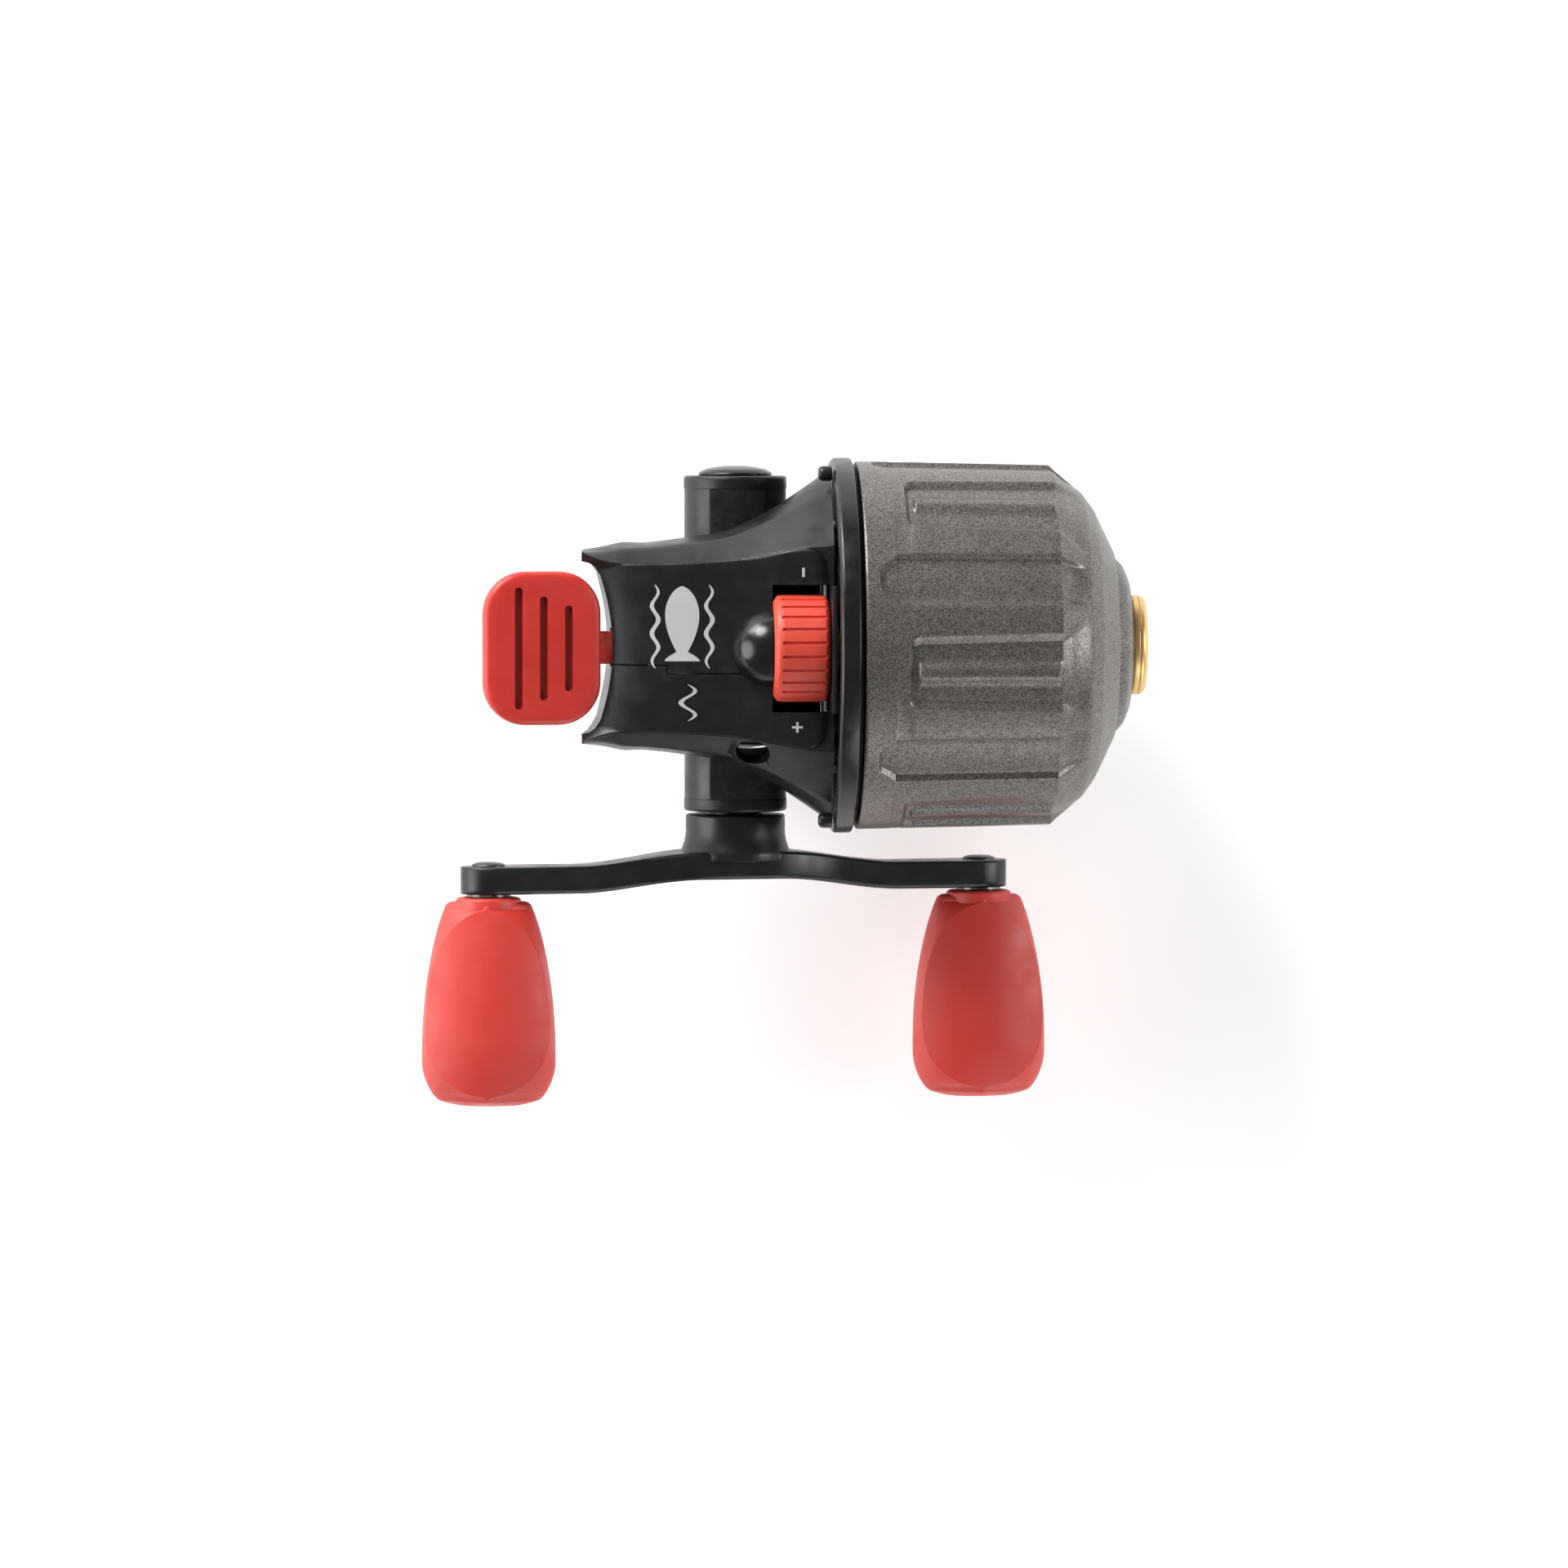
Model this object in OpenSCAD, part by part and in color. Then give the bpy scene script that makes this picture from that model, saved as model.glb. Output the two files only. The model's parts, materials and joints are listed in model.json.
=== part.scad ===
// Spincast fishing reel: X points to the line exit, Y to the left side, Z up from the rod.
// The origin is the centre of the foot's underside. All sizes are in millimetres.

/* [Body] */
// Height of the spinning axis above the underside of the foot
axis_z = 40; // [38:0.5:44]
// Wall thickness of the two side shells
wall = 2; // [1.6:0.1:2.4]
// Front end of the side shells
shell_front = 6.2; // [5:0.1:7]
// Rear end of the side shells, at the tips of the ears
shell_rear = -37; // [-40:0.5:-34]
// Radius of the hollow rear edge
rear_hollow_r = 24.2; // [20:0.1:30]
// Centre of the hollow rear edge along X
rear_hollow_x = -55.6; // [-60:0.1:-50]
// Radius of the two crank bosses
boss_r = 8.9; // [8:0.1:9.4]
// Outer end of the left crank boss
boss_left_y = 29.1; // [27:0.1:31]
// Outer end of the right crank boss
boss_right_y = -28.8; // [-31:0.1:-27]

/* [Deck plate and cover] */
// Outer radius of the flange ring
flange_r = 32.3; // [30:0.1:34]
// Radius of the cover at its open end
cover_r = 31.7; // [29:0.1:33]
// Inner radius of the cover at its open end
cover_in_r = 29.6; // [27:0.1:31]
// Front face of the flange ring
flange_front = 10.7; // [10:0.1:12]
// Front end of the cover
cover_front = 58.1; // [54:0.1:60]
// Number of raised panels around the cover
cover_panels = 6; // [4:1:8]
// Radius of the line guide ring
guide_r = 8.6; // [7:0.1:10]
// Bore radius of the line guide ring
guide_bore_r = 4.2; // [3:0.1:6]

/* [Crank and gears] */
// Position of the crank axis along X
crank_x = -9.5; // [-12:0.5:-8]
// Distance of the crank axis below the spinning axis
gear_offset = 7.5; // [7:0.1:8]
// Radius of the crankshaft
crank_r = 3; // [2.5:0.05:3.5]
// Teeth on the pinion
pinion_teeth = 10; // [8:1:14]
// Teeth on the drive gear
gear_teeth = 39; // [30:1:50]
// Gear module
gear_module = 0.6; // [0.5:0.05:0.8]
// Teeth on the anti-reverse ratchet
ratchet_teeth = 12; // [8:1:20]
// Resting angle of the handle, rear end up
handle_angle = 11; // [0:1:45]
// Distance of each knob from the crank axis
arm_r = 43.7; // [38:0.1:48]
// Length of a knob
knob_len = 36.1; // [30:0.1:42]
// Largest half-width of a knob
knob_half_w = 11.6; // [9:0.1:13]
// Largest half-thickness of a knob
knob_half_t = 8.2; // [6:0.1:10]

/* [Spool and spinner head] */
// Radius of the centre shaft
shaft_r = 1.5; // [1.2:0.05:2]
// Radius of the spool's rear flange
spool_r = 22; // [20:0.5:24]
// Radius of the wound line
line_r = 17; // [12:0.5:19]
// Outer radius of the spinner head
head_r = 20.6; // [19:0.1:22]
// Travel of the centre shaft when the button is pressed
shaft_travel = 2.83; // [2:0.01:3]

/* [Button and drag wheel] */
// Length of the thumb pad
pad_len = 20.35; // [16:0.05:24]
// Width of the thumb pad
pad_w = 26.2; // [20:0.1:30]
// Rearward rise of the thumb pad in degrees
pad_tilt = 10; // [0:1:15]
// Radius of the drag wheel
wheel_r = 9.15; // [8:0.05:10]
// Width of the drag wheel
wheel_w = 9.5; // [8:0.1:11]
// Ribs around the drag wheel
wheel_ribs = 24; // [16:1:36]

/* [Foot] */
// Length of the reel foot
foot_len = 61; // [55:0.5:66]
// Width of the reel foot
foot_w = 13; // [11:0.1:15]
// Thickness of the reel foot
foot_t = 2.6; // [2:0.1:3.5]

/* [Hidden] */
// Facet count of round parts
$fn = 48;
// Radial play of a running fit
play = 0.05;
// Height of the crank axis
crank_z = axis_z - gear_offset;
// Pitch radius of the pinion
pinion_r = gear_module * pinion_teeth / 2;
// Tip radius of the pinion
pinion_tip = pinion_r + 0.5;
// Root radius of the pinion
pinion_root = pinion_r - 0.7;
// Distance along X from the crank axis to the mesh
mesh_dx = pinion_r * gear_teeth / pinion_teeth;
// Outer radius of the drive gear
gear_r = 14.9;
// Height of the drag screw
drag_z = axis_z + 15.5;
// Rear face of the drag wheel
wheel_x = -4.2;
// Height of the button's pivot
pivot_z = axis_z + 9;
// Position of the button's pivot along X
pivot_x = -24;
// Rear face of the flange ring
flange_rear = 6.5;
// Front face of the deck plate's web
web_front = 9.5;
// Radius of the hub that the spool turns on
hub_r = 6.5;
// Outer radius of the centre bushing
bushing_r = 4.4;
// Radius of the pinion's journal
journal_r = 2.9;
// Outer radius of a crank bushing
crank_bush_r = 5;
// Rear face of the spool
spool_x0 = 13.9;
// Front face of the spool
spool_x1 = 29.4;
// Radius where the deck screws stand
deck_screw_ring = 22;
// Half-angles of the deck screws from the top
deck_screw_angles = [70, 130];
// Clearance radius of the small screws
screw_hole = 1.15;
// Shank radius of the small screws
screw_r = 1.1;
// Rear edge of the thumb pad
pad_x0 = -54.1;
// Rear shell screw, as X and Z
screw_a = [-28, 32];
// Lower shell screw, as X and Z
screw_b = [0, 17.6];
// Foot screws along X
foot_screw_x = [-10, -5];
// Pivot of the anti-reverse pawl, as X and Z
pawl_at = [-19.5, 27];
// Underside of the shells above the stem
belly_z = 14;
// Inner and outer faces of the handle arm at its middle
arm_in = -35.7;
arm_out = -40.45;
// Outward set of the arm's ends
arm_bend = 2.2;
// Seam between the shells at the rear and at the front
seam_rear = -2.9;
seam_front = -4.3;
// Place where the seam steps
seam_step = -22.2;
// Angle of the first panel's middle from the top, towards the left
panel_turn = -7;
// Half of a panel's width and width of the valley beside it, in degrees
panel_half = 21;
valley_width = 18;
// Middle and width of the two pockets in a panel, in degrees
pocket_mid = 6.8;
pocket_width = 10.4;
// Depths of the valleys and of the pockets
valley_deep = 0.9;
pocket_deep = 0.5;
// Place where the cover's side turns into its cone, and its radius there
shoulder = 43.3;
shoulder_r = 31;
// Length and root of a drive gear tooth
gear_root = 0.8;
// Tooth thickness of the drive gear
gear_tooth = 0.56;
// Radii of the screw heads and of their seats
screw_head_r = 2;
screw_seat_r = 2.1;
// Seats of the two shell screws along Y
screw_seat_a = -15.2;
screw_seat_b = -14.4;

// ---- shared shapes ----

// Moves the children onto the spinning axis
module on_axis() translate([0, 0, axis_z]) children();

// Moves the children onto the crank axis
module on_crank() translate([crank_x, 0, crank_z]) children();

// Solid round bar along X
module rod_x(x0, x1, r) translate([x0, 0, 0]) rotate([0, 90, 0]) cylinder(h = x1 - x0, r = r);

// Solid round bar along Y
module rod_y(y0, y1, r) translate([0, y0, 0]) rotate([-90, 0, 0]) cylinder(h = y1 - y0, r = r);

// Hollow round bar along X
module tube_x(x0, x1, ro, ri) difference() {
    rod_x(x0, x1, ro);
    rod_x(x0 - 1, x1 + 1, ri);
}

// Hollow round bar along Y
module tube_y(y0, y1, ro, ri) difference() {
    rod_y(y0, y1, ro);
    rod_y(y0 - 1, y1 + 1, ri);
}

// Revolves a profile of [radius, x] points about X
module turned_x(points) rotate([0, 90, 0]) rotate_extrude() polygon(points);

// Sector about X from angle a to a + span, measured from the top towards the left
module sector_x(a, span, points) {
    rotate([0, 90, 0])
        rotate([0, 0, 180 - a - span])
            rotate_extrude(angle = span) polygon(points);
}

// Places the children at radius r and angle a from the top, in the plane across X
module around_x(r, a) translate([0, r * sin(a), r * cos(a)]) children();

// Coil along X, as rings joined by short links
module coil_x(x0, x1, r, wire, turns) {
    step = (x1 - x0 - 2 * wire) / (turns - 1);
    for (i = [0 : turns - 1])
        translate([x0 + wire + i * step, 0, 0])
            rotate([0, 90, 0]) rotate_extrude() translate([r, 0]) circle(r = wire, $fn = 16);
    for (i = [0 : turns - 2])
        around_x(r, 180 * (i % 2))
            rod_x(x0 + wire + i * step, x0 + wire + (i + 1) * step, wire * 0.9, $fn = 16);
}

// ---- body shells ----

// One thin cross-section of the body: half-widths, heights above the axis and an inset
module body_slice(x, w, d, t, s, b, c, in) {
    translate([x, 0, axis_z]) rotate([90, 0, 90]) linear_extrude(0.1)
        polygon([[d - in * 0.8, t - in * 0.9], [w - in, s - in * 0.25],
                 [w - 1 - in, -8], [c - in * 0.4, b + in], [in * 0.4 - c, b + in],
                 [in + 1 - w, -8], [in - w, s - in * 0.25], [in * 0.8 - d, t - in * 0.9]]);
}

// Numbered cross-sections from the rear to the front
module body_station(i, in) {
    belly = belly_z - axis_z;
    if (i == 0) body_slice(shell_rear, 17.3, 14.6, 12, 8.5, -15, 10, in);
    if (i == 1) body_slice(-12, 20, 15, 15.2, 9, belly, 9, in);
    if (i == 2) body_slice(-3, 24.1, 16.2, 16.8, 8, belly, 12, in);
    if (i == 3) body_slice(shell_front - 0.1 + (in > 0 ? 0.3 : 0), 30.4, 17.4, 18.2, 7,
                           belly, 16, in);
}

// Body envelope, inset by the given amount
module body_form(in) difference() {
    for (i = [0 : 2]) hull() {
        body_station(i, in);
        body_station(i + 1, in);
    }
    translate([rear_hollow_x, 0, 0]) cylinder(h = 2 * axis_z, r = rear_hollow_r + in, $fn = 96);
}

// Material to one side of the stepped seam: side 1 is left, -1 is right
module seam_side(side) {
    gap = 0.04;
    far = 60;
    translate([0, 0, -1]) linear_extrude(2.5 * axis_z)
        polygon([[-far, seam_rear + side * gap], [seam_step, seam_rear + side * gap],
                 [seam_step, seam_front + side * gap], [far, seam_front + side * gap],
                 [far, side * far], [-far, side * far]]);
}

// Spots inside the shells that carry screws, pins and guides
module shell_bosses(side) {
    far = boss_left_y;
    boss = 2.4;
    on_crank() rod_y(side > 0 ? 8 : boss_right_y, side > 0 ? far : -12, boss_r);
    translate([pivot_x, 0, pivot_z]) rod_y(side > 0 ? 3.1 : -17, side > 0 ? 17 : -3.1, boss);
    translate([screw_a[0], 0, screw_a[1]]) rod_y(side > 0 ? -2.8 : -16.8, side > 0 ? 15 : -3, boss);
    translate([screw_b[0], 0, screw_b[1]]) rod_y(side > 0 ? -2.2 : -16, side > 0 ? 14 : -5, boss);
    for (a = deck_screw_angles) on_axis() around_x(deck_screw_ring, side * a)
        rod_x(1, shell_front, boss + 0.2);
    on_axis() translate([0, 0, drag_z - axis_z]) intersection() {
        translate([wheel_x - 0.2, 0, 0]) sphere(r = 6.6);
        translate([wheel_x - 8, -8, -8]) cube([8, 16, 16]);
    }
}

// Everything that is cut out of both shells
module shell_cuts() {
    window_half = 10.85;
    on_crank() rod_y(-40, 40, crank_bush_r);
    translate([wheel_x, -window_half, axis_z + 4]) cube([20, 2 * window_half, 30]);
    translate([-40, -3.3, pivot_z - 6]) cube([14, 6.6, 7.6]);
    translate([pivot_x, 0, pivot_z]) rod_y(-10, 10, 1.25);
    translate([0, 0, drag_z]) rod_x(-9.4, 0, 1.65);
    translate([screw_a[0], 0, screw_a[1]]) rod_y(-20, 9, screw_hole);
    translate([screw_a[0], 0, screw_a[1]]) rod_y(-22, screw_seat_a, screw_seat_r);
    translate([screw_b[0], 0, screw_b[1]]) rod_y(-20, 9, screw_hole);
    translate([screw_b[0], 0, screw_b[1]]) rod_y(-22, screw_seat_b, screw_seat_r);
    for (a = deck_screw_angles, side = [-1, 1]) on_axis()
        around_x(deck_screw_ring, side * a) rod_x(2, 8, screw_hole);
}

module left_shell() color([0.05, 0.05, 0.055]) difference() {
    intersection() {
        union() {
            difference() {
                body_form(0);
                body_form(wall);
            }
            shell_bosses(1);
            translate([-18, 2.9, axis_z - 3]) cube([3, 13.9, 6]);
            for (x = foot_screw_x) translate([x, 0, belly_z]) cylinder(h = 5, r = 2.3);
        }
        seam_side(1);
    }
    shell_cuts();
    on_axis() rod_x(-19, -14, 3);
    for (x = foot_screw_x) translate([x, 0, belly_z - 1]) cylinder(h = 5.4, r = screw_hole);
}

// Tilt of the hook keeper's pit away from the top, on the right side
keeper_tilt = 36;
module at_keeper() translate([-7.5, -18.6, axis_z + 12.6]) rotate([keeper_tilt, 0, 0]) children();

module right_shell() color([0.05, 0.05, 0.055]) difference() {
    intersection() {
        union() {
            difference() {
                body_form(0);
                body_form(wall);
            }
            shell_bosses(-1);
            at_keeper() translate([0, 0, -4.6]) cylinder(h = 3.6, r = 3.9);
            translate([pawl_at[0], 0, pawl_at[1]]) rod_y(-14, -10.4, 2);
        }
        seam_side(-1);
    }
    shell_cuts();
    at_keeper() translate([0, 0, -3.2]) cylinder(h = 8, r = 2.8);
    at_keeper() translate([0, 0, -0.9]) rod_x(-3.6, 3.6, 0.5);
    translate([pawl_at[0], 0, pawl_at[1]]) rod_y(-13.4, -8, 1);
}

module hook_keeper() color([0.75, 0.76, 0.78])
    at_keeper() translate([0, 0, -0.9]) rod_x(-3.5, 3.5, 0.48);

module shell_screws() color([0.3, 0.3, 0.32]) {
    for (s = [[screw_a, screw_seat_a], [screw_b, screw_seat_b]])
        translate([s[0][0], 0, s[0][1]]) difference() {
            union() {
                rod_y(s[1] - 1.35, s[1] - play, screw_head_r);
                rod_y(s[1] - play, 8, screw_r);
            }
            rod_y(s[1] - 2, s[1] - 0.6, 0.9, $fn = 6);
        }
}

// ---- foot ----

module foot() color([0.06, 0.06, 0.065]) difference() {
    union() {
        intersection() {
            translate([0, foot_w / 2, 0]) rotate([90, 0, 0]) linear_extrude(foot_w)
                polygon([[-foot_len / 2, 0], [foot_len / 2, 0], [foot_len / 2, 1.2],
                         [foot_len / 4, foot_t], [-foot_len / 4, foot_t],
                         [-foot_len / 2, 1.2]]);
            linear_extrude(foot_t + 1) union() {
                square([foot_len - foot_w, foot_w], center = true);
                for (s = [-1, 1]) translate([s * (foot_len - foot_w) / 2, 0])
                    circle(r = foot_w / 2);
            }
        }
        translate([0, 4.2, 0]) rotate([90, 0, 0]) linear_extrude(8.4)
            polygon([[-15, 1], [10, 1], [6.5, foot_t + 1.6], [4, belly_z - 1.5],
                     [4, belly_z - 0.02], [-12, belly_z - 0.02], [-12, belly_z - 1.5],
                     [-12.6, foot_t + 1.6]]);
    }
    for (x = foot_screw_x) translate([x, 0, -1]) cylinder(h = belly_z + 2, r = screw_hole);
    for (x = foot_screw_x) translate([x, 0, -1]) cylinder(h = 2.6, r = 2.2);
}

module foot_screws() color([0.6, 0.6, 0.62]) {
    for (x = foot_screw_x) translate([x, 0, 0]) difference() {
        union() {
            translate([0, 0, 0.3]) cylinder(h = 1.3, r = 2.1);
            translate([0, 0, 1.6]) cylinder(h = belly_z + 2, r = screw_r);
        }
        cylinder(h = 1, r = 0.9, $fn = 6);
    }
}

// ---- deck plate ----

module deck_plate() color([0.07, 0.07, 0.075]) difference() {
    on_axis() turned_x([
        [bushing_r, 5.2], [hub_r, 5.2], [hub_r, 7], [29.4, 7], [29.4, flange_rear],
        [flange_r - 0.6, flange_rear], [flange_r, flange_rear + 0.6],
        [flange_r, flange_front - 0.6], [flange_r - 0.6, flange_front],
        [cover_in_r - 0.3, flange_front], [cover_in_r - 0.3, 13.4], [cover_in_r - 1.8, 13.4],
        [cover_in_r - 1.8, web_front], [8, web_front], [8, 12.9], [hub_r, 12.9],
        [hub_r, spool_x1 + 0.1], [hub_r - 0.5, spool_x1 + 0.1],
        [hub_r - 0.5, spool_x1 + 0.9], [hub_r, spool_x1 + 0.9], [hub_r, 31],
        [bushing_r, 31]]);
    translate([0, 0, drag_z]) rod_x(5, 12, 3.4);
    translate([5, -0.6, drag_z + 3]) cube([7, 1.2, 1.4]);
    for (a = deck_screw_angles, side = [-1, 1]) on_axis()
        around_x(deck_screw_ring, side * a) rod_x(5, 12, screw_hole);
}

module deck_screws() color([0.6, 0.6, 0.62]) {
    for (a = deck_screw_angles, side = [-1, 1]) on_axis() around_x(deck_screw_ring, side * a)
        difference() {
            union() {
                rod_x(web_front, web_front + 1.4, screw_head_r);
                rod_x(2.4, web_front, screw_r);
            }
            rod_x(web_front + 0.7, web_front + 2, 0.9, $fn = 6);
        }
}

module centre_bushing() color([0.72, 0.55, 0.25])
    on_axis() tube_x(5.2, 30.5, bushing_r, journal_r + play);

module spool_washer() color([0.2, 0.2, 0.2]) on_axis() tube_x(12.9, 13.8, 9, hub_r + 0.02);

module spool_clip() color([0.7, 0.7, 0.72]) on_axis() difference() {
    tube_x(spool_x1 + 0.12, spool_x1 + 0.88, 8.2, hub_r - 0.48);
    translate([spool_x1 - 1, -2, -10]) cube([4, 4, 10]);
}

// ---- crank ----

module crank_bushing_left() color([0.72, 0.55, 0.25])
    on_crank() tube_y(12, 23.9, crank_bush_r, crank_r + play);

module crank_bushing_right() color([0.72, 0.55, 0.25])
    on_crank() tube_y(-27.9, -12.5, crank_bush_r, crank_r + play);

module end_cap() color([0.06, 0.06, 0.065]) on_crank() rotate([-90, 0, 0]) rotate_extrude()
    polygon([[0, 26], [4.9, 26], [4.9, boss_left_y], [6.35, boss_left_y],
             [6.35, boss_left_y + 0.6], [5.2, boss_left_y + 1.3], [3, boss_left_y + 1.65],
             [0, boss_left_y + 1.75]]);

module crankshaft() color([0.7, 0.7, 0.72]) on_crank() rod_y(-38, 25.5, crank_r);

module crank_clip() color([0.6, 0.6, 0.62]) on_crank() tube_y(24.1, 24.9, 4.6, crank_r);

module drive_gear() color([0.62, 0.62, 0.6]) on_crank() {
    difference() {
        union() {
            rod_y(-6.4, -3.75, gear_r);
            rod_y(-7.9, -6.4, 5);
        }
        rod_y(-9, 0, crank_r);
        for (i = [0 : 5]) rotate([0, 60 * i, 0]) translate([9, 0, 0]) rod_y(-8, 0, 2.2);
    }
    for (i = [0 : gear_teeth - 1]) rotate([0, 360 / gear_teeth * i, 0])
        translate([mesh_dx - gear_root, -3.85, gear_offset - gear_tooth / 2])
            cube([1.7, 1.2, gear_tooth]);
}

module ratchet() color([0.55, 0.55, 0.57]) on_crank() difference() {
    rotate([90, 0, 0]) translate([0, 0, 8.2]) linear_extrude(2)
        polygon([for (i = [0 : 2 * ratchet_teeth - 1])
            let (a = 180 / ratchet_teeth * (i - (i % 2) * 0.7), r = i % 2 == 0 ? 8 : 6.4)
                [r * cos(a), r * sin(a)]]);
    rod_y(-11, -8, crank_r);
}

module pawl() color([0.55, 0.55, 0.57]) translate([pawl_at[0], 0, pawl_at[1]]) difference() {
    union() {
        rod_y(-10.1, -8.3, 2);
        rotate([90, 0, 0]) translate([0, 0, 8.3]) linear_extrude(1.8)
            polygon([[-1.6, 1], [1.8, 0.6], [2, 5.2], [1.1, 5.4]]);
    }
    rod_y(-11, -8, 1 + play);
}

module pawl_pin() color([0.7, 0.7, 0.72])
    translate([pawl_at[0], 0, pawl_at[1]]) rod_y(-13.4, -6.9, 1);

module pawl_spring() color([0.6, 0.6, 0.62]) translate([pawl_at[0], 0, pawl_at[1]]) {
    for (i = [0, 1]) rotate([90, 0, 0]) translate([0, 0, 7.3 + i * 0.5]) rotate_extrude()
        translate([1.35, 0]) circle(r = 0.27, $fn = 16);
    translate([-1.35, -7.3, -4]) cylinder(h = 4, r = 0.25, $fn = 16);
}

// Outward set of the arm at distance x from its middle
function bend(x) = arm_bend * (1 - cos(180 * min(1, max(0, (abs(x) - 6.5) / 22)))) / 2;

module handle_arm() color([0.06, 0.06, 0.065]) {
    n = 24;
    reach = arm_r + 5;
    xs = [for (i = [0 : n]) -reach + 2 * reach * i / n];
    on_crank() rotate([0, handle_angle, 0]) difference() {
        union() {
            intersection() {
                translate([0, 0, -10]) linear_extrude(20)
                    polygon(concat([for (x = xs) [x, arm_in - bend(x)]],
                                   [for (i = [n : -1 : 0]) [xs[i], arm_out - bend(xs[i])]]));
                for (s = [-1, 1]) hull() {
                    rod_y(-50, -30, 7.4);
                    translate([s * arm_r, 0, 0]) rod_y(-50, -30, 4.8);
                }
            }
            rod_y(arm_in, -29.4, 8.6);
            rod_y(-29.4, -28.2, 4.7);
        }
        rod_y(-39, -20, crank_r);
        rod_y(-42, -38, 4.1);
        for (s = [-1, 1]) translate([s * arm_r, 0, 0]) rod_y(-50, -30, 2);
    }
}

module handle_screw() color([0.6, 0.6, 0.62]) on_crank() difference() {
    rod_y(-39.9, -38, 4);
    rod_y(-41, -38.9, 1.6, $fn = 6);
}

module knob_posts() color([0.7, 0.7, 0.72]) on_crank() rotate([0, handle_angle, 0])
    for (s = [-1, 1]) translate([s * arm_r, 0, 0]) {
        rod_y(-70, arm_in - arm_bend, 2);
        rod_y(arm_in - arm_bend, arm_in - arm_bend + 0.7, 2.9);
    }

module knob_washers() color([0.3, 0.3, 0.32]) on_crank() rotate([0, handle_angle, 0])
    for (s = [-1, 1]) translate([s * arm_r, 0, 0])
        tube_y(arm_out - arm_bend - 0.4, arm_out - arm_bend, 3.8, 2);

// Half-width of a knob at the share t of its length
function swell(t) = t < 0.8
    ? 7 + (knob_half_w - 7) * sin(90 * pow(t / 0.8, 0.75))
    : knob_half_w - 2.3 * pow((t - 0.8) / 0.2, 2);
// Half-thickness of a knob at the share t of its length
function depth(t) = t < 0.7
    ? 5.4 + (knob_half_t - 5.4) * sin(90 * t / 0.7)
    : knob_half_t - 1.9 * pow((t - 0.7) / 0.3, 2);

// Outline of a knob from its inner end, with the half-width or the half-thickness
module knob_outline(wide) {
    n = 18;
    ts = [for (i = [0 : n]) i / n];
    function half(t) = wide ? swell(t) : depth(t);
    polygon(concat([for (t = ts) [half(t), -t * (knob_len - 1)]], [[0, -knob_len]],
                   [for (i = [n : -1 : 0]) [-half(ts[i]), -ts[i] * (knob_len - 1)]]));
}

module knob(s, turn) color([0.8, 0.16, 0.11]) on_crank() rotate([0, handle_angle, 0])
    translate([s * arm_r, arm_out - arm_bend - 0.55, 0])
        difference() {
            rotate([0, turn - handle_angle, 0]) intersection() {
                translate([0, 0, -10]) linear_extrude(20) knob_outline(true);
                rotate([0, 90, 0]) translate([0, 0, -14]) linear_extrude(28)
                    knob_outline(false);
            }
            rod_y(-knob_len + 7, 1, 2 + play);
        }

module knob_rear() knob(-1, -4);
module knob_front() knob(1, 4);

// ---- spinning parts ----

// One straight tooth of the pinion, at the top
module pinion_tooth() rotate([90, 0, 90]) linear_extrude(5.5)
    polygon([[-0.39, pinion_root - 0.3], [-0.3, pinion_r], [-0.17, pinion_tip],
             [0.17, pinion_tip], [0.3, pinion_r], [0.39, pinion_root - 0.3]]);

module pinion() color([0.72, 0.55, 0.25]) on_axis() difference() {
    union() {
        rod_x(-1.2, 4.6, pinion_root);
        rod_x(4.3, 31.2, journal_r);
        for (i = [0 : pinion_teeth - 1]) rotate([360 / pinion_teeth * i, 0, 0])
            translate([-0.8, 0, 0]) pinion_tooth();
    }
    rod_x(-2, 32, shaft_r + play);
}

module return_spring() color([0.7, 0.7, 0.72]) on_axis() coil_x(-10.55, -1.25, 2.05, 0.25, 7);

module push_cap() color([0.2, 0.2, 0.22]) on_axis() difference() {
    union() {
        rod_x(-22.25, -21.2, 2.3);
        rod_x(-21.2, -15.5, 2);
    }
    rod_x(-18.6, -15, shaft_r + play);
}

module rear_guide() color([0.72, 0.55, 0.25]) on_axis() tube_x(-18.1, -14.9, 3, 2 + play);

module centre_shaft() color([0.75, 0.76, 0.78]) on_axis() {
    rod_x(-18.5, 43, shaft_r);
    rod_x(-11.6, -10.6, 2.5);
}

module spinner_head() color([0.7, 0.71, 0.73]) on_axis() difference() {
    union() {
        turned_x([
            [shaft_r, 32], [4.2, 32], [4.2, 36.6], [head_r - 3, 36.6], [head_r - 1.4, 35.4],
            [head_r - 1.4, 31.5], [head_r, 31.5], [head_r, 36.6], [head_r - 0.7, 38],
            [head_r - 2.2, 38.6], [4.2, 38.6], [4.2, 39.5], [shaft_r, 39.5]]);
        translate([34, 0, 15.2]) cylinder(h = 4.2, r = 2);
    }
    translate([34, 0, 14]) cylinder(h = 8, r = 0.9 + play);
}

module spinner_nut() color([0.7, 0.55, 0.3]) on_axis() difference() {
    translate([39.5, 0, 0]) rotate([0, 90, 0]) cylinder(h = 2.4, r = 3.3, $fn = 6);
    rod_x(39, 43, shaft_r);
}

module pickup_pin() color([0.8, 0.8, 0.82]) on_axis() translate([34, 0, 16])
    cylinder(h = 6.4, r = 0.9);

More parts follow.
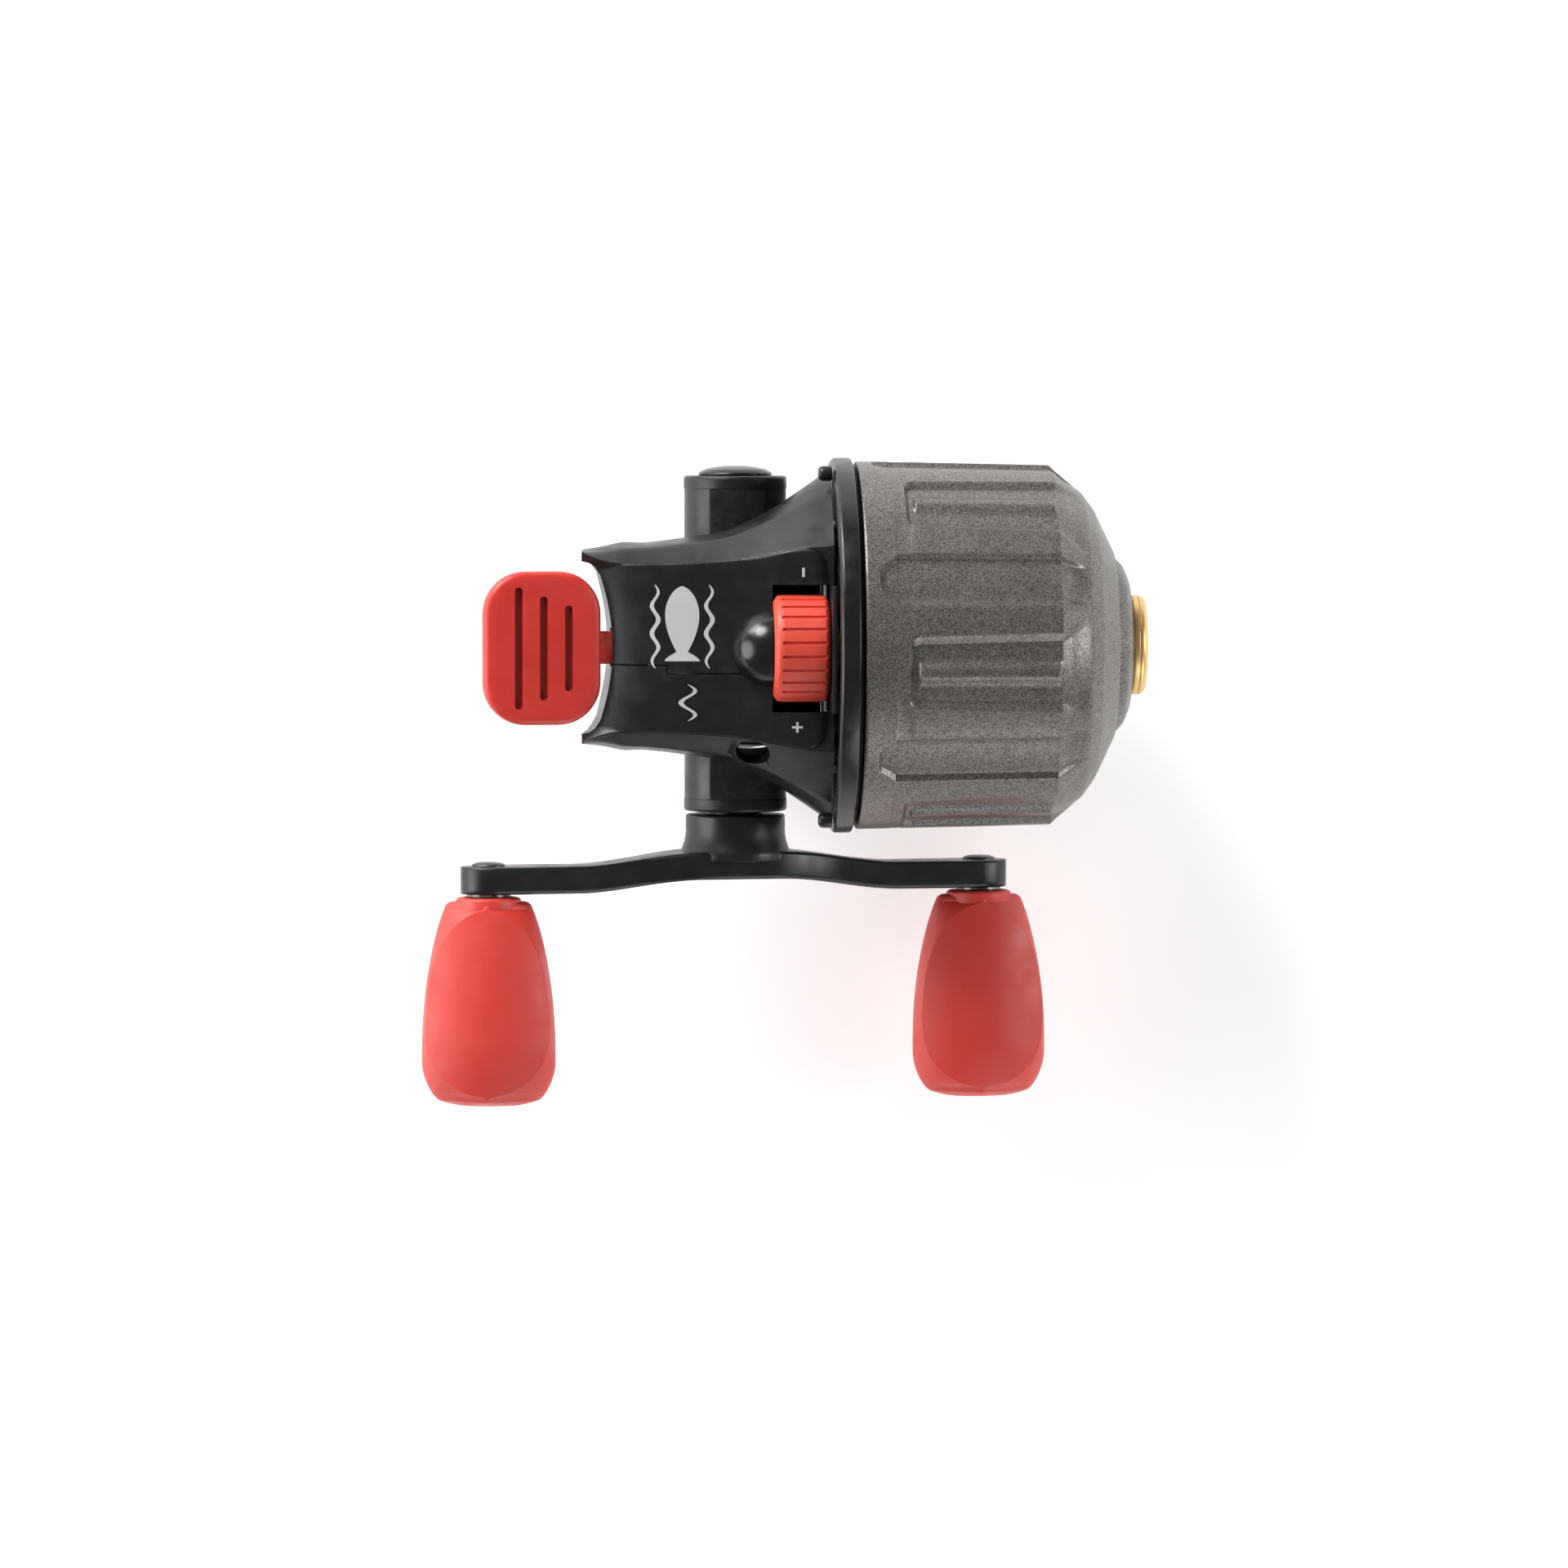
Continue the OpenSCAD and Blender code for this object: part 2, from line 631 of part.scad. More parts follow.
module spool() color([0.12, 0.12, 0.13]) on_axis() turned_x([
    [hub_r + play, spool_x0], [spool_r - 0.4, spool_x0], [spool_r, spool_x0 + 0.4],
    [spool_r, spool_x0 + 1.2], [spool_r - 0.4, spool_x0 + 1.6], [10, spool_x0 + 1.6],
    [10, spool_x1 - 1.4], [19, spool_x1 - 1.4], [19.4, spool_x1 - 1], [19.4, spool_x1 - 0.4],
    [19, spool_x1], [hub_r + play, spool_x1]]);

module line_pack() color([0.75, 0.78, 0.7]) on_axis() turned_x([
    [10, spool_x0 + 1.65], [line_r, spool_x0 + 1.65], [line_r + 0.4, (spool_x0 + spool_x1) / 2],
    [line_r, spool_x1 - 1.45], [10, spool_x1 - 1.45]]);

// ---- button ----

// Straight groove with round ends, across Y
module groove(len, half) {
    translate([-half, -len / 2 + half, 0]) cube([2 * half, len - 2 * half, 4]);
    for (s = [-1, 1]) translate([0, s * (len / 2 - half), 0]) cylinder(h = 4, r = half);
}

module thumb_button() color([0.75, 0.1, 0.07]) difference() {
    corner = 7.3;
    pad_x1 = pad_x0 + pad_len;
    union() {
        translate([pad_x1, 0, pivot_z + 0.6]) rotate([0, pad_tilt, 0]) difference() {
            hull() for (x = [corner - pad_len, -corner], s = [-1, 1])
                translate([x, s * (pad_w / 2 - corner), 0]) cylinder(h = 3, r = corner);
            for (i = [0 : 2]) translate([5.9 - pad_len + 4.35 * i, 0, 2.2])
                groove(20.9 - 3.1 * i, 0.7);
        }
        translate([pad_x1 - 2, -2.8, pivot_z - 0.9]) cube([12, 5.6, 2.3]);
        translate([pivot_x, 0, pivot_z]) rod_y(-2.8, 2.8, 2.5);
        translate([pivot_x - 1.3, -2.2, axis_z]) cube([2.6, 4.4, 9]);
        translate([pivot_x, 0, axis_z]) rod_y(-2.2, 2.2, 1.6);
    }
    translate([pivot_x, 0, pivot_z]) rod_y(-4, 4, 1.2 + play);
}

module button_pin() color([0.75, 0.76, 0.78])
    translate([pivot_x, 0, pivot_z]) rod_y(-9.5, 9.5, 1.2);

// ---- drag ----

module drag_wheel() color([0.8, 0.13, 0.09]) translate([wheel_x, 0, drag_z]) difference() {
    union() {
        turned_x([[0, 0], [wheel_r - 1.4, 0], [wheel_r - 0.5, 0.9],
                  [wheel_r - 0.5, wheel_w - 0.9], [wheel_r - 1.4, wheel_w], [0, wheel_w]]);
        for (i = [0 : wheel_ribs - 1]) rotate([360 / wheel_ribs * i, 0, 0])
            translate([0.8, -0.75, wheel_r - 1.2]) cube([wheel_w - 1.6, 1.5, 1.17]);
    }
    rod_x(-1, wheel_w + 1, 1.6);
}

module drag_screw() color([0.7, 0.7, 0.72]) translate([0, 0, drag_z]) rod_x(-9.2, 10.4, 1.6);

module drag_nut() color([0.72, 0.55, 0.25]) translate([0, 0, drag_z]) difference() {
    union() {
        rod_x(6.4, 11.5, 3.33);
        translate([6.4, -0.5, 3]) cube([5.1, 1, 1.2]);
    }
    rod_x(6, 12, 1.6 + 0.08);
}

module drag_spring() color([0.6, 0.6, 0.62]) translate([0, 0, drag_z])
    coil_x(11.55, 12.95, 2.5, 0.28, 2);

module drag_shoe() color([0.5, 0.35, 0.2]) translate([0, 0, drag_z]) {
    rod_x(13, 13.8, 3.2);
    rod_x(11, 13, 1.2);
}

// ---- cover ----

module front_cover() color([0.42, 0.4, 0.38]) on_axis() difference() {
    rim = flange_front + 0.1;
    valley_r = shoulder_r - valley_deep;
    turned_x([
        [cover_in_r, rim], [cover_r - 0.3, rim], [cover_r, rim + 0.3], [31.2, shoulder - 3],
        [shoulder_r, shoulder], [29.9, 45.3], [27.1, 48.9], [23.4, 51.8], [17.8, 54.5], [16.3, 55.1],
        [15.9, 55.1], [13.7, 56.9], [10.4, cover_front], [7.2, cover_front], [7.2, 56.3], [9.6, 56.2],
        [13, 55.1], [17.6, 52.4], [21.2, 50.8], [23.8, 49], [26.2, 46.3], [28.8, 42.4]]);
    for (i = [0 : cover_panels - 1]) {
        middle = 360 / cover_panels * i + panel_turn;
        sector_x(middle + panel_half, valley_width,
            [[cover_r - valley_deep, 12.9], [cover_r - valley_deep, 24], [valley_r + 0.2, 36],
             [valley_r, shoulder + 0.3], [34, shoulder + 0.3], [34, 12.9]]);
        for (side = [-1, 1])
            sector_x(middle + pocket_mid * side - pocket_width / 2, pocket_width,
                [[cover_r - 0.2 - pocket_deep, 18], [cover_r - 0.5 - pocket_deep, 39],
                 [34, 42.6], [34, 17.6]]);
    }
}

module line_guide_ring() color([0.75, 0.56, 0.22]) on_axis() turned_x([
    [guide_bore_r, 57.2], [guide_bore_r + 0.6, 56.6], [7.2, 56.6], [7.2, cover_front],
    [guide_r - 0.3, cover_front], [guide_r, cover_front + 0.3], [guide_r, 60],
    [guide_r - 0.4, 60.6], [guide_r - 1, 60.8], [guide_bore_r + 1.4, 60.8],
    [guide_bore_r + 0.4, 60.4], [guide_bore_r, 59.8]]);

foot();
foot_screws();
left_shell();
right_shell();
shell_screws();
deck_plate();
deck_screws();
crank_bushing_left();
crank_bushing_right();
end_cap();
centre_bushing();
rear_guide();
button_pin();
pawl_pin();
pawl_spring();
hook_keeper();
spool_washer();
spool_clip();
drag_shoe();
drag_spring();
crankshaft();
crank_clip();
drive_gear();
ratchet();
handle_arm();
handle_screw();
knob_posts();
knob_washers();
knob_rear();
knob_front();
pinion();
return_spring();
push_cap();
centre_shaft();
spinner_head();
spinner_nut();
pickup_pin();
thumb_button();
drag_wheel();
drag_screw();
drag_nut();
spool();
line_pack();
pawl();
front_cover();
line_guide_ring();
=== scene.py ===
"""Spincast reel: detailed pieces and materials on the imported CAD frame. Metres, row frame."""
import json
import math

import bpy
import bmesh
from mathutils import Matrix, Vector


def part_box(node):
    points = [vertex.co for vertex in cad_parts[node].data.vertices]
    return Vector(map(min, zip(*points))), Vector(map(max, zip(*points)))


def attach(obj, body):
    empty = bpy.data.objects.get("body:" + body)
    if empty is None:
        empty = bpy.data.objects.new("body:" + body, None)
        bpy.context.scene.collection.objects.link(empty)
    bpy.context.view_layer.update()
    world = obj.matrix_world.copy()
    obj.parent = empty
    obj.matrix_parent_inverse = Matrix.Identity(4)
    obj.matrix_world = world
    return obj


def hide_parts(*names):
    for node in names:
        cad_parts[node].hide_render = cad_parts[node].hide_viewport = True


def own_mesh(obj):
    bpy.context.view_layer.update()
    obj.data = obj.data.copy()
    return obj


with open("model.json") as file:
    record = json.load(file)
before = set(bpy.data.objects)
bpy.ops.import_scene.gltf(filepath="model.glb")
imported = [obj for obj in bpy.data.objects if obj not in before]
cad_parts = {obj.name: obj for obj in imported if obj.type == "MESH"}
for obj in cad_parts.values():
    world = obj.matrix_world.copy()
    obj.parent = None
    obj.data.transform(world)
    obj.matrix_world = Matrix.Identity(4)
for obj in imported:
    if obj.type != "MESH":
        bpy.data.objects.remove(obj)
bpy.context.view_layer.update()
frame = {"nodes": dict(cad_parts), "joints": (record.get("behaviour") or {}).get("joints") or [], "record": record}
MM = 0.001

# ---------------- sizes read from the frame
def lo(n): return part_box(n)[0] / MM


def hi(n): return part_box(n)[1] / MM


JOINTS = {j["name"]: j for j in frame["joints"]}
AXIS_Z = JOINTS["pinion_spin"]["pos_m"][2] / MM
CRANK_X, _, CRANK_Z = (v / MM for v in JOINTS["crank_spin"]["pos_m"])
PIVOT_X, _, PIVOT_Z = (v / MM for v in JOINTS["thumb_press"]["pos_m"])
DRAG_Z = JOINTS["drag_turn"]["pos_m"][2] / MM
REAR_KNOB = Vector(JOINTS["rear_knob_spin"]["pos_m"]) / MM
FRONT_KNOB = Vector(JOINTS["front_knob_spin"]["pos_m"]) / MM
FLANGE_R = hi("deck_plate")[1]
SHELL_FRONT = hi("left_shell")[0]
SHELL_REAR = lo("left_shell")[0]
BELLY = hi("foot")[2]
BOSS_LEFT = hi("end_cap")[1] - 1.75
BOSS_RIGHT = hi("handle_arm")[1] - 0.6
BOSS_R = 8.9
COVER_REAR, COVER_FRONT = lo("front_cover")[0], hi("front_cover")[0]
COVER_R = hi("front_cover")[1]
RING_FRONT, RING_R = hi("line_guide_ring")[0], hi("line_guide_ring")[1]
WHEEL_X0, WHEEL_X1 = lo("drag_wheel")[0], hi("drag_wheel")[0]
WHEEL_R = hi("drag_wheel")[1]
HANDLE_ANGLE = math.atan2(REAR_KNOB[2] - CRANK_Z, CRANK_X - REAR_KNOB[0])
ARM_R = math.hypot(REAR_KNOB[2] - CRANK_Z, CRANK_X - REAR_KNOB[0])
KNOB_TOP, KNOB_END = hi("knob_rear")[1], lo("knob_rear")[1]
FOOT_LEN, FOOT_W = hi("foot")[0] - lo("foot")[0], hi("foot")[1] - lo("foot")[1]
SEAM_REAR_Y, SEAM_FRONT_Y, SEAM_STEP_X = -2.9, -4.3, -22.2
HOLLOW_X, HOLLOW_R = -69.4, 38.0  # centre and radius of the arc between the rear ears
CREASE = math.radians(32)


# ---------------- mesh helpers
def lerp(a, b, t): return a + (b - a) * t


def smooth(t):
    t = min(1.0, max(0.0, t))
    return t * t * (3 - 2 * t)


def keyed(x, xs, ys):
    """Smooth curve through the key values ys at xs."""
    if x <= xs[0]:
        return ys[0]
    if x >= xs[-1]:
        return ys[-1]
    i = max(k for k in range(len(xs) - 1) if xs[k] <= x)

    def slope(k):
        a, b = max(0, k - 1), min(len(xs) - 1, k + 1)
        return (ys[b] - ys[a]) / (xs[b] - xs[a])
    h = xs[i + 1] - xs[i]
    t = (x - xs[i]) / h
    return ((2 * t ** 3 - 3 * t ** 2 + 1) * ys[i] + (t ** 3 - 2 * t ** 2 + t) * h * slope(i)
            + (3 * t ** 2 - 2 * t ** 3) * ys[i + 1] + (t ** 3 - t ** 2) * h * slope(i + 1))


def span(a, b, n): return [lerp(a, b, i / (n - 1)) for i in range(n)]


def finish_mesh(me, crease=CREASE):
    for p in me.polygons:
        p.use_smooth = True
    me.set_sharp_from_angle(angle=crease)
    me.update()


def piece(name, bm, crease=CREASE):
    """Scales a bmesh made in millimetres to metres and puts it in the scene."""
    bmesh.ops.remove_doubles(bm, verts=bm.verts, dist=1e-5)
    bmesh.ops.recalc_face_normals(bm, faces=bm.faces)
    bmesh.ops.scale(bm, vec=(MM, MM, MM), verts=bm.verts)
    me = bpy.data.meshes.new(name)
    bm.to_mesh(me)
    bm.free()
    finish_mesh(me, crease)
    o = bpy.data.objects.new(name, me)
    bpy.context.scene.collection.objects.link(o)
    return o


def loft(bm, rings, cap=True, closed=False):
    """Skins closed rings of points; cap closes both ends, closed joins the last to the first."""
    rows = [[bm.verts.new(p) for p in ring] for ring in rings]
    n = len(rows[0])
    pairs = list(zip(rows, rows[1:])) + ([(rows[-1], rows[0])] if closed else [])
    for a, b in pairs:
        for i in range(n):
            j = (i + 1) % n
            bm.faces.new((a[i], a[j], b[j], b[i]))
    if cap and not closed:
        bm.faces.new(rows[0])
        bm.faces.new(rows[-1])
    return rows


def skin(name, rings, crease=CREASE, closed=False):
    """Piece skinned over closed rings of points."""
    bm = bmesh.new()
    loft(bm, rings, closed=closed)
    return piece(name, bm, crease)


def rounded(points, radii, n=5):
    """Closed outline with its corners rounded, always len(points) * n points."""
    out = []
    m = len(points)
    for i, (p, r) in enumerate(zip(points, radii)):
        p, a, b = Vector(p), Vector(points[i - 1]), Vector(points[(i + 1) % m])
        da, db = (a - p), (b - p)
        r = min(r, 0.49 * da.length, 0.49 * db.length)
        s, e = p + da.normalized() * r, p + db.normalized() * r
        for k in range(n):
            t = k / (n - 1)
            out.append(s * (1 - t) ** 2 + p * 2 * t * (1 - t) + e * t ** 2)
    return out


def rounded_profile(points, radius, n=4):
    """Open profile with its inner corners rounded."""
    out = [Vector(points[0])]
    for i in range(1, len(points) - 1):
        p, a, b = Vector(points[i]), Vector(points[i - 1]), Vector(points[i + 1])
        da, db = a - p, b - p
        r = min(radius, 0.45 * da.length, 0.45 * db.length)
        s, e = p + da.normalized() * r, p + db.normalized() * r
        for k in range(n):
            t = k / (n - 1)
            out.append(s * (1 - t) ** 2 + p * 2 * t * (1 - t) + e * t ** 2)
    out.append(Vector(points[-1]))
    return out


def lathe(bm, profile, axis="X", centre=(0, 0, 0), segs=96):
    """Closed [along, radius] profile turned about an axis through centre."""
    c = Vector(centre)
    rings = []
    for k in range(segs):
        a = 2 * math.pi * k / segs
        ring = []
        for s, r in profile:
            u, v = r * math.sin(a), r * math.cos(a)
            ring.append(c + (Vector((s, u, v)) if axis == "X" else Vector((v, s, u))
                             if axis == "Y" else Vector((u, v, s))))
        rings.append(ring)
    loft(bm, rings, closed=True)


def turned(name, points, axis, centre, radius=0.3, segs=96, crease=CREASE):
    """Turned piece from a closed [along, radius] outline with rounded corners."""
    outline = rounded(points, [radius] * len(points), 4)
    outline = [Vector((p[0], max(p[1], 0.0))) for p in outline]
    bm = bmesh.new()
    lathe(bm, outline, axis, centre, segs)
    bmesh.ops.dissolve_degenerate(bm, edges=bm.edges, dist=1e-6)
    return piece(name, bm, crease)


def box_piece(name, a, b):
    (x0, y0, z0), (x1, y1, z1) = a, b
    return skin(name, [[(x0, y0, z), (x1, y0, z), (x1, y1, z), (x0, y1, z)] for z in (z0, z1)])


def rod_piece(name, axis, centre, s0, s1, r, segs=64):
    bm = bmesh.new()
    lathe(bm, [(s0, 0), (s0, r), (s1, r), (s1, 0)], axis, centre, segs)
    return piece(name, bm)


def apply_modifiers(o):
    dg = bpy.context.evaluated_depsgraph_get()
    dg.update()
    me = bpy.data.meshes.new_from_object(o.evaluated_get(dg))
    o.modifiers.clear()
    o.data = me


def cut(o, *tools, op="DIFFERENCE"):
    """Boolean of o with each tool piece in turn; the tools are then removed."""
    for t in tools:
        m = o.modifiers.new("cut", "BOOLEAN")
        m.object, m.operation, m.solver = t, op, "EXACT"
        apply_modifiers(o)
        me = t.data
        bpy.data.objects.remove(t)
        bpy.data.meshes.remove(me)
    return o


def copy_of(o):
    c = o.copy()
    c.data = o.data.copy()
    bpy.context.scene.collection.objects.link(c)
    return c


def soften(o, width, angle=35, segments=2):
    m = o.modifiers.new("soften", "BEVEL")
    m.width, m.segments, m.limit_method = width * MM, segments, "ANGLE"
    m.angle_limit, m.use_clamp_overlap = math.radians(angle), True
    m.miter_outer = "MITER_ARC"
    apply_modifiers(o)
    finish_mesh(o.data)
    return o


def place(o, material, body, slot_name, *nodes):
    o.data.materials.clear()
    o.data.materials.append(material)
    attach(o, body)
    if nodes:
        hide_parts(*nodes)
    return o


# ---------------- materials
def surface(name, base, rough, metal=0.0, grain=2200.0, grain_bump=0.00002, vary=0.12,
            blotch=90.0, rough_vary=0.08, sparkle=None, coat=0.0, wear=None, brushed=None,
            spec=0.5, cavity=None):
    """Procedural surface: colour blotches, fine grain, roughness variation, edge wear, painted shade in hollows
    (cavity) and bump.
    """
    m = bpy.data.materials.new(name)
    m.use_nodes = True
    nt = m.node_tree
    nt.nodes.clear()
    new = nt.nodes.new
    link = nt.links.new
    out = new("ShaderNodeOutputMaterial")
    sh = new("ShaderNodeBsdfPrincipled")
    link(sh.outputs[0], out.inputs["Surface"])
    sh.inputs["Metallic"].default_value = metal
    sh.inputs["Specular IOR Level"].default_value = spec
    sh.inputs["Coat Weight"].default_value = coat
    sh.inputs["Coat Roughness"].default_value = 0.25
    co = new("ShaderNodeTexCoord").outputs["Object"]

    def noise_tex(scale, detail=3.0):
        n = new("ShaderNodeTexNoise")
        n.inputs["Scale"].default_value = scale
        n.inputs["Detail"].default_value = detail
        link(co, n.inputs["Vector"])
        return n.outputs["Fac"]

    def mapped(value, a, b, lo_in=0.3, hi_in=0.7):
        r = new("ShaderNodeMapRange")
        r.inputs["From Min"].default_value = lo_in
        r.inputs["From Max"].default_value = hi_in
        r.inputs["To Min"].default_value = a
        r.inputs["To Max"].default_value = b
        link(value, r.inputs["Value"])
        return r.outputs["Result"]

    def mix(fac, a, b, blend="MIX"):
        x = new("ShaderNodeMix")
        x.data_type, x.blend_type = "RGBA", blend
        if hasattr(fac, "default_value"):
            link(fac, x.inputs["Factor"])
        else:
            x.inputs["Factor"].default_value = fac
        for k, v in (("A", a), ("B", b)):
            socket = [s for s in x.inputs if s.name == k and s.type == "RGBA"][0]
            if hasattr(v, "default_value"):
                link(v, socket)
            else:
                socket.default_value = (*v, 1)
        return [s for s in x.outputs if s.type == "RGBA"][0]

    dark = tuple(c * (1 - vary) for c in base)
    light = tuple(min(1.0, c * (1 + vary)) for c in base)
    colour = mix(mapped(noise_tex(blotch), 0, 1), dark, light)
    fine = noise_tex(grain, 2.0)
    colour = mix(mapped(fine, 0.0, 0.5), colour, dark)
    rough_out = mapped(noise_tex(blotch * 3), rough - rough_vary, rough + rough_vary)
    height = fine
    if sparkle:
        scale, low, high = sparkle
        v = new("ShaderNodeTexVoronoi")
        v.inputs["Scale"].default_value = scale
        link(co, v.inputs["Vector"])
        sep = new("ShaderNodeSeparateColor")
        link(v.outputs["Color"], sep.inputs["Color"])
        flake = mapped(sep.outputs[0], 0, 1, 0.0, 1.0)
        ramp = new("ShaderNodeValToRGB")
        ramp.color_ramp.elements[0].position = 0.1
        ramp.color_ramp.elements[0].color = (*low, 1)
        ramp.color_ramp.elements[1].position = 0.95
        ramp.color_ramp.elements[1].color = (*high, 1)
        link(flake, ramp.inputs["Fac"])
        colour = mix(0.85, colour, ramp.outputs["Color"])
        height = sep.outputs[1]
    if wear:
        tint, amount = wear
        geo = new("ShaderNodeNewGeometry")
        edge = mapped(geo.outputs["Pointiness"], 0.0, amount, 0.52, 0.6)
        mul = new("ShaderNodeMath")
        mul.operation = "MULTIPLY"
        link(edge, mul.inputs[0])
        link(mapped(noise_tex(blotch * 6), 0, 1, 0.4, 0.6), mul.inputs[1])
        colour = mix(mul.outputs[0], colour, tint)
    # painted shade: concave spots (low Pointiness) are mixed towards a dark tint to stand in for the shade that
    # falls in recesses and inner corners
    if cavity:
        tint, amount = cavity
        geo = new("ShaderNodeNewGeometry")
        colour = mix(mapped(geo.outputs["Pointiness"], amount, 0.0, 0.42, 0.49), colour, tint)
    if brushed:
        w = new("ShaderNodeTexNoise")
        mp = new("ShaderNodeMapping")
        mp.inputs["Scale"].default_value = brushed
        link(co, mp.inputs["Vector"])
        link(mp.outputs["Vector"], w.inputs["Vector"])
        w.inputs["Scale"].default_value = 1.0
        w.inputs["Detail"].default_value = 4.0
        height = w.outputs["Fac"]
        rough_out = mapped(w.outputs["Fac"], rough - rough_vary, rough + rough_vary)
    link(colour, sh.inputs["Base Color"])
    link(rough_out, sh.inputs["Roughness"])
    bump = new("ShaderNodeBump")
    bump.inputs["Strength"].default_value = 0.6
    bump.inputs["Distance"].default_value = grain_bump
    link(height, bump.inputs["Height"])
    link(bump.outputs["Normal"], sh.inputs["Normal"])
    return m


M_BODY = surface("body_black", (0.0085, 0.0085, 0.009), 0.36, grain=5200,
                 grain_bump=0.00003, vary=0.2, wear=((0.03, 0.03, 0.032), 0.3), spec=0.42)
M_BODY_GLOSS = surface("body_gloss", (0.006, 0.006, 0.0065), 0.24, grain=2600,
                       grain_bump=0.000004, vary=0.2, rough_vary=0.03)
M_DECK = surface("deck_black", (0.0085, 0.0085, 0.009), 0.3, grain=3600, grain_bump=0.00001,
                 vary=0.2, wear=((0.05, 0.05, 0.052), 0.3), spec=0.45)
M_FOOT = surface("foot_black", (0.022, 0.022, 0.024), 0.38, grain=3800, grain_bump=0.00003,
                 vary=0.2, wear=((0.3, 0.3, 0.31), 0.5))
M_HANDLE = surface("handle_black", (0.008, 0.008, 0.0085), 0.36, grain=3400,
                   grain_bump=0.00001, vary=0.2, wear=((0.04, 0.04, 0.042), 0.3), spec=0.45)
# its cavity tint is painted shade, darkening the cover's recesses, valley walls and inner corners
M_COVER = surface("cover_gunmetal", (0.15, 0.14, 0.13), 0.38, metal=0.65, grain=9000,
                  grain_bump=0.000012, sparkle=(6600, (0.05, 0.046, 0.042), (0.285, 0.268, 0.247)),
                  rough_vary=0.04, vary=0.05, cavity=((0.045, 0.042, 0.04), 0.6),
                  wear=((0.32, 0.31, 0.29), 0.25))
M_GOLD = surface("gold_ring", (0.82, 0.56, 0.24), 0.42, metal=1.0, vary=0.08,
                 brushed=(300, 9000, 9000), grain_bump=0.000006, rough_vary=0.06)
M_RUBBER = surface("red_rubber", (0.62, 0.04, 0.026), 0.5, grain=4200, grain_bump=0.00003,
                   vary=0.06, blotch=60, wear=((0.8, 0.12, 0.08), 0.5), spec=0.6)
M_RED = surface("red_plastic", (0.6, 0.032, 0.021), 0.42, grain=3600, grain_bump=0.00002,
                vary=0.08, blotch=110, wear=((0.85, 0.14, 0.09), 0.4), spec=0.5)
# lighter copy of the red plastic: the red is the plastic's own, and the extra lightness over the pad is painted
# highlight standing in for the shine of the wheel's ribs
M_WHEEL_PAINTED_HIGHLIGHT = surface("wheel_red_painted_highlight", (0.74, 0.07, 0.042), 0.45, grain=3600, grain_bump=0.00003,
                  vary=0.1, blotch=260, wear=((0.9, 0.25, 0.18), 0.5), spec=0.5)
# darker copy of the red plastic for the pad's groove walls: painted shade for the shadow inside the grooves
M_RED_GROOVE_SHADE = surface("red_groove_painted_shade", (0.33, 0.012, 0.009), 0.5, grain=3600, grain_bump=0.00002,
                     vary=0.1)
M_STEEL = surface("turned_steel", (0.56, 0.56, 0.57), 0.27, metal=1.0, vary=0.06,
                  brushed=(9000, 400, 9000), grain_bump=0.000004, rough_vary=0.07)
M_DARK_STEEL = surface("black_steel", (0.06, 0.06, 0.063), 0.34, metal=0.85, grain=2600,
                       vary=0.2, wear=((0.4, 0.4, 0.41), 0.6))
M_BRONZE = surface("bronze", (0.5, 0.3, 0.12), 0.42, metal=1.0, grain=5200, vary=0.14,
                   grain_bump=0.00002)
M_CAST = surface("cast_alloy", (0.52, 0.52, 0.52), 0.46, metal=0.9, grain=3800, vary=0.1,
                 grain_bump=0.00003)
M_SPOOL = surface("spool_black", (0.02, 0.02, 0.022), 0.35, grain=3000, vary=0.15)
M_LINE = surface("nylon_line", (0.56, 0.62, 0.5), 0.22, vary=0.1, blotch=300,
                 brushed=(3200, 60, 60), grain_bump=0.00008, coat=0.4)
M_FIBRE = surface("pressed_fibre", (0.24, 0.13, 0.06), 0.85, grain=6000, vary=0.2,
                  grain_bump=0.00008)
M_PRINT = surface("white_print", (0.5, 0.5, 0.5), 0.5, grain=7000, vary=0.06)

SLOT_LOOK = {
    "body_plastic": M_BODY, "deck_metal": M_DECK, "foot_metal": M_FOOT,
    "cover_paint": M_COVER, "gold_ring": M_GOLD, "handle_paint": M_HANDLE,
    "red_rubber": M_RUBBER, "red_plastic": M_RED, "steel": M_STEEL,
    "dark_steel": M_DARK_STEEL, "bronze": M_BRONZE, "die_cast": M_CAST,
    "spool_plastic": M_SPOOL, "line": M_LINE, "fibre": M_FIBRE}
for part in frame["record"]["subparts"]:
    o = frame["nodes"][part["node"]]
    o.data.materials.clear()
    o.data.materials.append(SLOT_LOOK[part["material_slot"]])


# ---------------- body shells
BODY_X = [SHELL_REAR, -34.6, -32.2, -29.8, -25.7, -19.2, -12, -7.1, -3, 1.9, SHELL_FRONT]
BODY_W = [16.8, 17.15, 17.6, 18.0, 17.95, 18.7, 19.9, 21.9, 24.1, 27.4, 30.4]
DECK_W = [16.5, 15.3, 14.6, 14.4, 14.3, 14.5, 15.0, 15.6, 16.4, 17.2, 17.4]
DECK_T = [12.0, 12.3, 12.6, 12.9, 13.4, 14.2, 15.1, 15.9, 16.7, 17.5, 18.1]
BAND_W = [0.4, 0.9, 1.2, 1.1, 0.9, 1.0, 1.2, 1.5, 1.9, 2.7, 3.4]
SHOULDER = [9.6, 8.9, 8.4, 8.5, 8.6, 8.8, 9.0, 8.8, 8.6, 8.2, 7.6]
BELLY_H = [-15.0, -16.4, -17.7, -19, -20.7, -23.6, -25.9, -26, -26, -26, -26]
BELLY_W = [10, 9.9, 9.8, 9.6, 9.4, 9, 9, 10.4, 12, 14.4, 16]
DECK_STEP, DECK_CORNER, CROWN = 0.42, 4.9, 0.25
